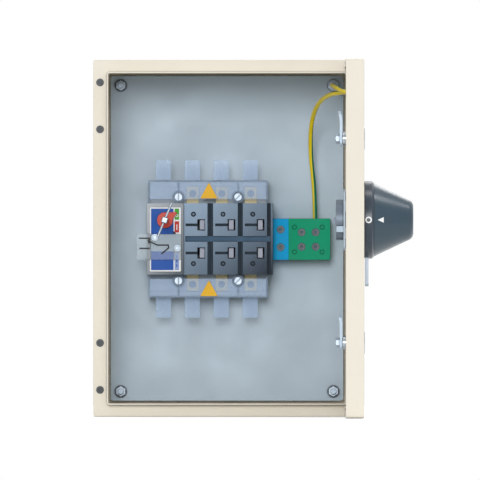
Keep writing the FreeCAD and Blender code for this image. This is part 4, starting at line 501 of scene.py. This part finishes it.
FINISHES = (
    (powder_coat, ("body_shell", "door_panel", "gland_plate")),
    (galvanised_sheet, ("mounting_plate", "backing_plate")),
    (zinc_fastener, (
        "gland_screws", "plate_nuts", "hinge_screws", "switch_screws", "cover_screws", "hinge_pins",
        "spacer_sleeves", "flange_screws", "door_stud_nuts", "latch_nut_top", "latch_nut_bottom",
        "drive_shaft", "plate_ring_terminal", "door_ring_terminals")),
    (blackened_washer, ("plate_washers",)),
    (zinc_in_painted_shade, ("block_screws",)),
    (threaded_zinc, ("plate_studs", "door_earth_studs")),
    (nickel_latch, ("latch_tongue_top", "latch_tongue_bottom", "latch_core_top", "latch_core_bottom")),
    (brushed_steel, ("padlock_tab", "cross_pin")),
    (die_cast_chrome, ("lock_housings",)),
    (die_cast_grey, ("interlock_ring",)),
    (hinge_casting, ("hinge_body_leaves", "hinge_door_blocks")),
    (moulded_foam, ("door_gasket",)),
    (solid_rubber, ("gland_gasket", "flange_gasket")),
    (pole_moulding, ("pole_cover",)),
    (drive_moulding, ("mechanism_cover",)),
    (base_moulding, ("switch_base",)),
    (handle_moulding, ("handle_grip",)),
    (flange_moulding, ("handle_flange",)),
    (black_moulding, ("rim_plugs", "shaft_bush", "drive_crank", "drive_socket")),
    (carriage_moulding, ("contact_carriage",)),
    (shroud_moulding, ("shroud_top", "shroud_bottom")),
    (clear_sheet, ("aux_cover",)),
    (tinned_copper, ("fixed_contacts_top", "fixed_contacts_bottom", "moving_contacts")),
    (plain_brass, ("block_bars",)),
    (blue_polyamide, ("neutral_block",)),
    (green_polyamide, ("earth_block",)),
    (red_acetal, ("position_pointer",)),
    (yellow_film, ("triangle_plates",)),
    (label_film, ("label_plate",)),
)


def dress_cad_nodes():
    """Gives each CAD node its finish; the two wires' nodes are replaced by the scene's own."""
    for make, names in FINISHES:
        material = make()
        for name in names:
            for slot in frame["nodes"][name].material_slots:
                slot.material = material


# Printed shapes

Circle = namedtuple("Circle", "x z radius steps")
UPRIGHT = Matrix.Rotation(math.pi / 2, 4, "X")
SHARPEST_MITRE = 0.4


def finished_piece(name, bm, material, body):
    """Closes a bmesh into an object that rides on a body."""
    mesh = bpy.data.meshes.new(name)
    bm.to_mesh(mesh)
    bm.free()
    mesh.materials.append(material)
    piece = bpy.data.objects.new(name, mesh)
    bpy.context.collection.objects.link(piece)
    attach(piece, body)


def flat_shape(outlines, cuts=0):
    """A sheet in the XZ plane from circles or lists of corners; an outline inside another is a hole."""
    bm = bmesh.new()
    for outline in outlines:
        if isinstance(outline, Circle):
            place = Matrix.Translation((outline.x * MM, 0, outline.z * MM)) @ UPRIGHT
            bmesh.ops.create_circle(bm, segments=outline.steps, radius=outline.radius * MM, matrix=place)
            continue
        corners = [bm.verts.new((x * MM, 0, z * MM)) for x, z in outline]
        for start, end in zip(corners, corners[1:] + corners[:1]):
            bm.edges.new((start, end))
    bmesh.ops.triangle_fill(bm, edges=bm.edges[:], use_beauty=True, normal=(0, -1, 0))
    if cuts:
        bmesh.ops.subdivide_edges(bm, edges=bm.edges[:], cuts=cuts, use_grid_fill=True)
        bmesh.ops.triangulate(bm, faces=bm.faces[:])
    return bm


def thicken(bm, way):
    """Pulls a sheet out along a way, by the ink's thickness."""
    pulled = bmesh.ops.extrude_face_region(bm, geom=bm.faces[:])
    moved = [item for item in pulled["geom"] if isinstance(item, bmesh.types.BMVert)]
    bmesh.ops.translate(bm, verts=moved, vec=Vector(way) * INK * MM)
    bmesh.ops.recalc_face_normals(bm, faces=bm.faces[:])


def printed(name, outlines, face_y, material, layer=1):
    """Ink on a face that looks forwards, one layer over another."""
    bm = flat_shape(outlines)
    thicken(bm, (0, -1, 0))
    place_y = face_y - INK_LIFT - (layer - 1) * INK
    bmesh.ops.translate(bm, verts=bm.verts[:], vec=(0, place_y * MM, 0))
    finished_piece(name, bm, material, "enclosure")


def rectangle(left, right, bottom, top):
    """The corners of a field."""
    return [(left, bottom), (right, bottom), (right, top), (left, top)]


def bar(middle, width, bottom, top):
    """The corners of an upright bar."""
    return rectangle(middle - width / 2, middle + width / 2, bottom, top)


def ring(x, z, outer, inner, steps):
    """The off mark's circle and the hole in it."""
    return [Circle(x, z, outer, steps), Circle(x, z, inner, steps)]


def stroke(points, width):
    """The corners of a bent line of one width, with square ends and mitred bends."""
    left = []
    right = []
    for i, point in enumerate(points):
        here = Vector(point)
        before = Vector(points[max(i - 1, 0)])
        after = Vector(points[min(i + 1, len(points) - 1)])
        into = (here - before).normalized() if i else (after - here).normalized()
        out = (after - here).normalized() if i < len(points) - 1 else into
        way = (into + out).normalized()
        side = Vector((-way.y, way.x)) * (width / 2 / max(way.dot(into), SHARPEST_MITRE))
        left.append(tuple(here + side))
        right.append(tuple(here - side))
    return left + right[::-1]


# The label's fields: the outer edges follow its plate
BLUE_LEFT = label_low.x / MM + 1.5
BLUE_RIGHT = BLUE_LEFT + 25.3
BLUE_TOP = label_high.z / MM - 1.4
BLUE_BOTTOM = label_low.z / MM + 1.6
BAND_RIGHT = label_high.x / MM - 0.7
BAND_TOP = 4.5
BAND_BOTTOM = -14.5
FIELD_LEFT = BLUE_RIGHT + 1.3
FIELD_RIGHT = label_high.x / MM - 2.1
FIELD_MIDDLE = (FIELD_LEFT + FIELD_RIGHT) / 2
OFF_FIELD_BOTTOM = 21.1
ON_FIELD_BOTTOM = 6.6
ON_FIELD_TOP = 19.3
SIDE_FIELD_TOP = -16.0
SIDE_BAR_W = 1.2
SIDE_BAR_H = 3.2
SIDE_BAR_TOPS = (-19.0, -24.0, -29.0)
OFF_MARK_Z = 25.6
OFF_MARK_R = 1.7
OFF_HOLE_R = 1.0
ON_MARK_W = 1.1
ON_MARK_BOTTOM = 9.4
ON_MARK_TOP = 15.7
SPOT_X = BLUE_RIGHT - 0.2
SPOT_Z = BAND_TOP + 0.4
SPOT_W = 2.8
SPOT_H = 3.2
SPOT_STEPS = 6


def label_fields():
    """The label's coloured fields: blue above and below a grey band, and narrow ones on the right."""
    blue = ink("blue", BLUE_INK)
    bush_hole = Circle(SHAFT_X, SHAFT_Z, BUSH_FACE_R, 40)
    blue_above = rectangle(BLUE_LEFT, BLUE_RIGHT, BAND_TOP, BLUE_TOP)
    printed("label_blue_above", [blue_above, bush_hole], LABEL_FACE, blue)
    fields = (
        ("grey_band", rectangle(BLUE_LEFT, BAND_RIGHT, BAND_BOTTOM, BAND_TOP), ink("grey", GREY_INK)),
        ("blue_below", rectangle(BLUE_LEFT, BLUE_RIGHT, BLUE_BOTTOM, BAND_BOTTOM), blue),
        ("off_field", rectangle(FIELD_LEFT, FIELD_RIGHT, OFF_FIELD_BOTTOM, BLUE_TOP),
         ink("green", GREEN_INK)),
        ("on_field", rectangle(FIELD_LEFT, FIELD_RIGHT, ON_FIELD_BOTTOM, ON_FIELD_TOP),
         ink("red", RED_INK)),
        ("side_field", rectangle(FIELD_LEFT, FIELD_RIGHT, BLUE_BOTTOM, SIDE_FIELD_TOP),
         ink("pale_blue", PALE_BLUE_INK)),
    )
    for name, corners, material in fields:
        printed("label_" + name, [corners], LABEL_FACE, material)
    for i, top in enumerate(SIDE_BAR_TOPS):
        side_bar = bar(FIELD_MIDDLE, SIDE_BAR_W, top - SIDE_BAR_H, top)
        printed("label_side_bar_%d" % (i + 1), [side_bar], LABEL_FACE, blue, layer=2)


def label_marks():
    """The off and on marks, and the dark spot at the blue field's lower right corner."""
    white = ink("white", WHITE_INK)
    off_mark = ring(FIELD_MIDDLE, OFF_MARK_Z, OFF_MARK_R, OFF_HOLE_R, 28)
    on_mark = bar(FIELD_MIDDLE, ON_MARK_W, ON_MARK_BOTTOM, ON_MARK_TOP)
    printed("label_off_mark", off_mark, LABEL_FACE, white, layer=2)
    printed("label_on_mark", [on_mark], LABEL_FACE, white, layer=2)
    spot = [(SPOT_X, SPOT_Z)]
    for i in range(SPOT_STEPS + 1):
        angle = math.pi / 2 * i / SPOT_STEPS
        spot.append((SPOT_X + SPOT_W * math.cos(angle), SPOT_Z + SPOT_H * math.sin(angle)))
    printed("label_corner_spot", [spot], LABEL_FACE, ink("black", BLACK_INK), layer=2)


# The changeover contact's symbol: each line's bends, as X and Z
SYMBOL_LINE = 1.5
SYMBOL = (
    ("fixed_upper", [(-99.1, 0.2), (-87.6, 0.2), (-87.3, -2.3)]),
    ("fixed_lower", [(-98.6, -11.2), (-87.0, -11.2)]),
    ("arm", [(-89.4, -2.4), (-78.6, -7.5), (-66.2, -7.5), (-65.7, -10.6), (-73.9, -17.5)]),
    ("tick", [(-88.6, -1.6), (-87.6, -5.6)]),
)


def auxiliary_symbol():
    """The symbol in black on the clear cover, with lines that cross in two layers."""
    black = ink("symbol_black", BLACK_INK)
    for i, (name, points) in enumerate(SYMBOL):
        line = stroke(points, SYMBOL_LINE)
        printed("symbol_" + name, [line], AUX_FACE, black, layer=1 + i % 2)


# Marks on the handle

HANDLE_MARK_X = FLANGE_X + 4.0
HANDLE_RING_R = 3.7
HANDLE_HOLE_R = 2.1
HANDLE_BAR_L = 7.2
HANDLE_BAR_W = 1.6
ARROW_TIP_X = GRIP_CONE_X + 3.8
ARROW_L = 6.8
ARROW_HALF = 3.1


def handle_radius(x):
    """The handle's radius at a place along its axis: the flange's drum, then the grip's cone."""
    if x < GRIP_CONE_X:
        return FLANGE_R
    return GRIP_BASE_R - (GRIP_BASE_R - GRIP_TIP_R) * (x - GRIP_CONE_X) / (GRIP_TIP_X - GRIP_CONE_X)


def wrapped_mark(name, outlines, body, material, turn=0.0):
    """Ink laid round the handle: X runs along its axis and Z round it, from the front or a turn away."""
    bm = flat_shape(outlines, cuts=3)
    for vert in bm.verts:
        x = vert.co.x / MM
        radius = handle_radius(x) + INK_LIFT
        angle = vert.co.z / MM / radius + turn
        vert.co = Vector((x, HANDLE_Y - radius * math.cos(angle), HANDLE_Z + radius * math.sin(angle))) * MM
    thicken(bm, (0, -math.cos(turn), math.sin(turn)))
    finished_piece(name, bm, material, body)


def handle_marks():
    """Off and on marks on the flange, a quarter turn apart, and the arrow on the grip that points at them."""
    white = ink("handle_white", WHITE_INK)
    off_ring = ring(HANDLE_MARK_X, 0, HANDLE_RING_R, HANDLE_HOLE_R, 36)
    on_bar = rectangle(HANDLE_MARK_X - HANDLE_BAR_L / 2, HANDLE_MARK_X + HANDLE_BAR_L / 2,
                       -HANDLE_BAR_W / 2, HANDLE_BAR_W / 2)
    arrow = [(ARROW_TIP_X, 0.0), (ARROW_TIP_X + ARROW_L, -ARROW_HALF), (ARROW_TIP_X + ARROW_L, ARROW_HALF)]
    wrapped_mark("off_ring", off_ring, "door", white)
    wrapped_mark("on_bar", [on_bar], "door", white, turn=math.pi / 2)
    wrapped_mark("grip_arrow", [arrow], "handle", white)


# Earth wires: their routes in metres

LONG_ROUTE = (
    (0.0993, -0.045, 0.0162),
    (0.0993, -0.045, 0.0500),
    (0.0938, -0.056, 0.0960),
    (0.0946, -0.088, 0.1320),
    (0.1020, -0.130, 0.1520),
    (0.1135, -0.172, 0.1610),
    (0.1250, -0.208, 0.1630),
    (0.1337, -0.22819, 0.1640),
    (0.14187, -0.24077, 0.1640),
)
SHORT_ROUTE = (
    (0.12717, -0.03157, 0.16553),
    (0.12902, -0.06145, 0.16368),
    (0.1200, -0.100, 0.1712),
    (0.1176, -0.137, 0.1724),
    (0.1196, -0.178, 0.1712),
    (0.1240, -0.218, 0.1682),
    (0.12989, -0.25232, 0.1635),
    (0.14187, -0.27077, 0.1635),
)


def earth_wire(name, route, node, material):
    """A wire whose line is a smooth spline over the route, as a tube."""
    curve = bpy.data.curves.new(name + "_line", "CURVE")
    curve.dimensions = "3D"
    curve.resolution_u = 16
    spline = curve.splines.new("NURBS")
    spline.points.add(len(route) - 1)
    for point, place in zip(spline.points, route):
        point.co = (*place, 1.0)
    spline.order_u = 3
    spline.use_endpoint_u = True
    line = bpy.data.objects.new(name + "_line", curve)
    bpy.context.collection.objects.link(line)
    bpy.context.view_layer.update()
    path = [vert.co.copy() for vert in bpy.data.meshes.new_from_object(line).vertices]
    curve.bevel_depth = WIRE_D / 2 * MM
    curve.bevel_resolution = 7
    curve.use_fill_caps = True
    bpy.context.view_layer.update()
    mesh = bpy.data.meshes.new_from_object(line)
    bpy.data.objects.remove(line)
    mesh.name = name
    mesh.uv_layers[0].name = WIRE_UV
    for polygon in mesh.polygons:
        polygon.use_smooth = True
    mesh.materials.clear()
    mesh.materials.append(material)
    wire = bpy.data.objects.new(name, mesh)
    bpy.context.collection.objects.link(wire)
    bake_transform(wire)
    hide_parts(node)


def earth_wires():
    """The long wire comes from the earth block and the short one from the plate's stud, both to the door."""
    long_pvc = wire_insulation(turn=0.86, twist=-0.5)
    earth_wire("long_earth_wire", LONG_ROUTE, "earth_wire_long", long_pvc)
    short_pvc = wire_insulation(turn=0.1, twist=0.0)
    earth_wire("short_earth_wire", SHORT_ROUTE, "earth_wire_short", short_pvc)


# Light, floor and camera: each lamp has a name, a place, an aim, a width and its watts

LAMPS = (
    ("key_lamp", (-0.5, -8.0, 1.35), (0, -0.2, 0), 2.1, 232.0),
    ("fill_lamp", (3.0, -7.4, 0.6), (0.1, -0.3, 0), 3.6, 36.0),
    ("top_lamp", (0.3, -0.6, 3.0), (0.1, -0.3, 0), 0.8, 12.0),
    ("grip_lamp", (1.9, -0.5, 2.9), (0.2, -0.4, 0), 1.0, 22.0),
    ("back_lamp", (0.6, 2.6, 1.8), (0, -0.1, 0), 1.8, 18.0),
)
ROOM = "#F4F7FA"
ROOM_LIGHT = 0.5
FLOOR = "#F2F2F0"
FLOOR_GLOW = 0.6
FLOOR_R = 1.5
FLOOR_GAP_MM = 0.5

# The picture's middle and width at the box's rim
VIEW_X = 14.6
VIEW_Z = -1.8
VIEW_W = 538.0
RIM_Y = -200.0
LENS = 1650.0
SENSOR = 36.0
CLIP_END = 200.0


def studio():
    """Round, soft lamps: most of the light comes from the front, and a little from above and behind."""
    for name, place, aim, width, watts in LAMPS:
        light = bpy.data.lights.new(name, "AREA")
        light.shape = "DISK"
        light.size = width
        light.energy = watts
        lamp = bpy.data.objects.new(name, light)
        lamp.location = place
        lamp.rotation_euler = (Vector(aim) - Vector(place)).to_track_quat("-Z", "Y").to_euler()
        bpy.context.collection.objects.link(lamp)


def seen_share(tree):
    """One for rays of the camera, also by way of a gloss or through something clear, and else zero."""
    path = put(tree, "ShaderNodeLightPath").outputs
    mirrored = put(tree, "ShaderNodeMath", {0: path["Is Glossy Ray"], 1: path["Is Transmission Ray"]},
                   operation="MAXIMUM")
    seen = put(tree, "ShaderNodeMath", {0: path["Is Camera Ray"], 1: mirrored.outputs["Value"]},
               operation="MAXIMUM")
    return seen.outputs["Value"]


def sky():
    """An even pale room: white where it is seen or mirrored, and a softer level where it lights."""
    world = bpy.data.worlds.new("pale_room")
    bpy.context.scene.world = world
    world.use_nodes = True
    tree = world.node_tree
    tree.nodes.clear()
    lighting = put(tree, "ShaderNodeBackground", {"Color": linear(ROOM), "Strength": ROOM_LIGHT})
    shown = put(tree, "ShaderNodeBackground", {"Color": (1, 1, 1, 1), "Strength": 1.0})
    mixed = put(tree, "ShaderNodeMixShader", {
        0: seen_share(tree), 1: lighting.outputs["Background"], 2: shown.outputs["Background"]})
    out = put(tree, "ShaderNodeOutputWorld")
    tree.links.new(mixed.outputs["Shader"], out.inputs["Surface"])


def floor():
    """A pale floor under the box that takes its shadow, and is almost white where it is seen or mirrored."""
    material = bpy.data.materials.new("pale_floor")
    material.use_nodes = True
    tree = material.node_tree
    tree.nodes.clear()
    matt = put(tree, "ShaderNodeBsdfDiffuse", {"Color": linear(FLOOR)})
    glow = put(tree, "ShaderNodeEmission", {"Color": (1, 1, 1, 1), "Strength": FLOOR_GLOW})
    lit = put(tree, "ShaderNodeAddShader", {0: matt.outputs["BSDF"], 1: glow.outputs["Emission"]})
    mixed = put(tree, "ShaderNodeMixShader", {
        0: seen_share(tree), 1: matt.outputs["BSDF"], 2: lit.outputs["Shader"]})
    out = put(tree, "ShaderNodeOutputMaterial")
    tree.links.new(mixed.outputs["Shader"], out.inputs["Surface"])
    bm = bmesh.new()
    bmesh.ops.create_circle(bm, cap_ends=True, segments=96, radius=FLOOR_R)
    bmesh.ops.translate(bm, verts=bm.verts[:], vec=(0, 0, cad_box[0][2] - FLOOR_GAP_MM * MM))
    mesh = bpy.data.meshes.new("floor")
    bm.to_mesh(mesh)
    bm.free()
    mesh.materials.append(material)
    disc = bpy.data.objects.new("floor", mesh)
    bpy.context.collection.objects.link(disc)


def camera():
    """Straight in front and far away, because the picture shows hardly any perspective."""
    data = bpy.data.cameras.new("view")
    data.lens = LENS
    data.sensor_width = SENSOR
    data.clip_end = CLIP_END
    eye = bpy.data.objects.new("view", data)
    distance = VIEW_W * MM * LENS / SENSOR
    eye.location = (VIEW_X * MM, RIM_Y * MM - distance, VIEW_Z * MM)
    eye.rotation_euler = (math.pi / 2, 0, 0)
    bpy.context.collection.objects.link(eye)
    bpy.context.scene.camera = eye


dress_cad_nodes()
label_fields()
label_marks()
auxiliary_symbol()
handle_marks()
earth_wires()
studio()
sky()
floor()
camera()
bpy.context.scene.view_settings.view_transform = "Standard"
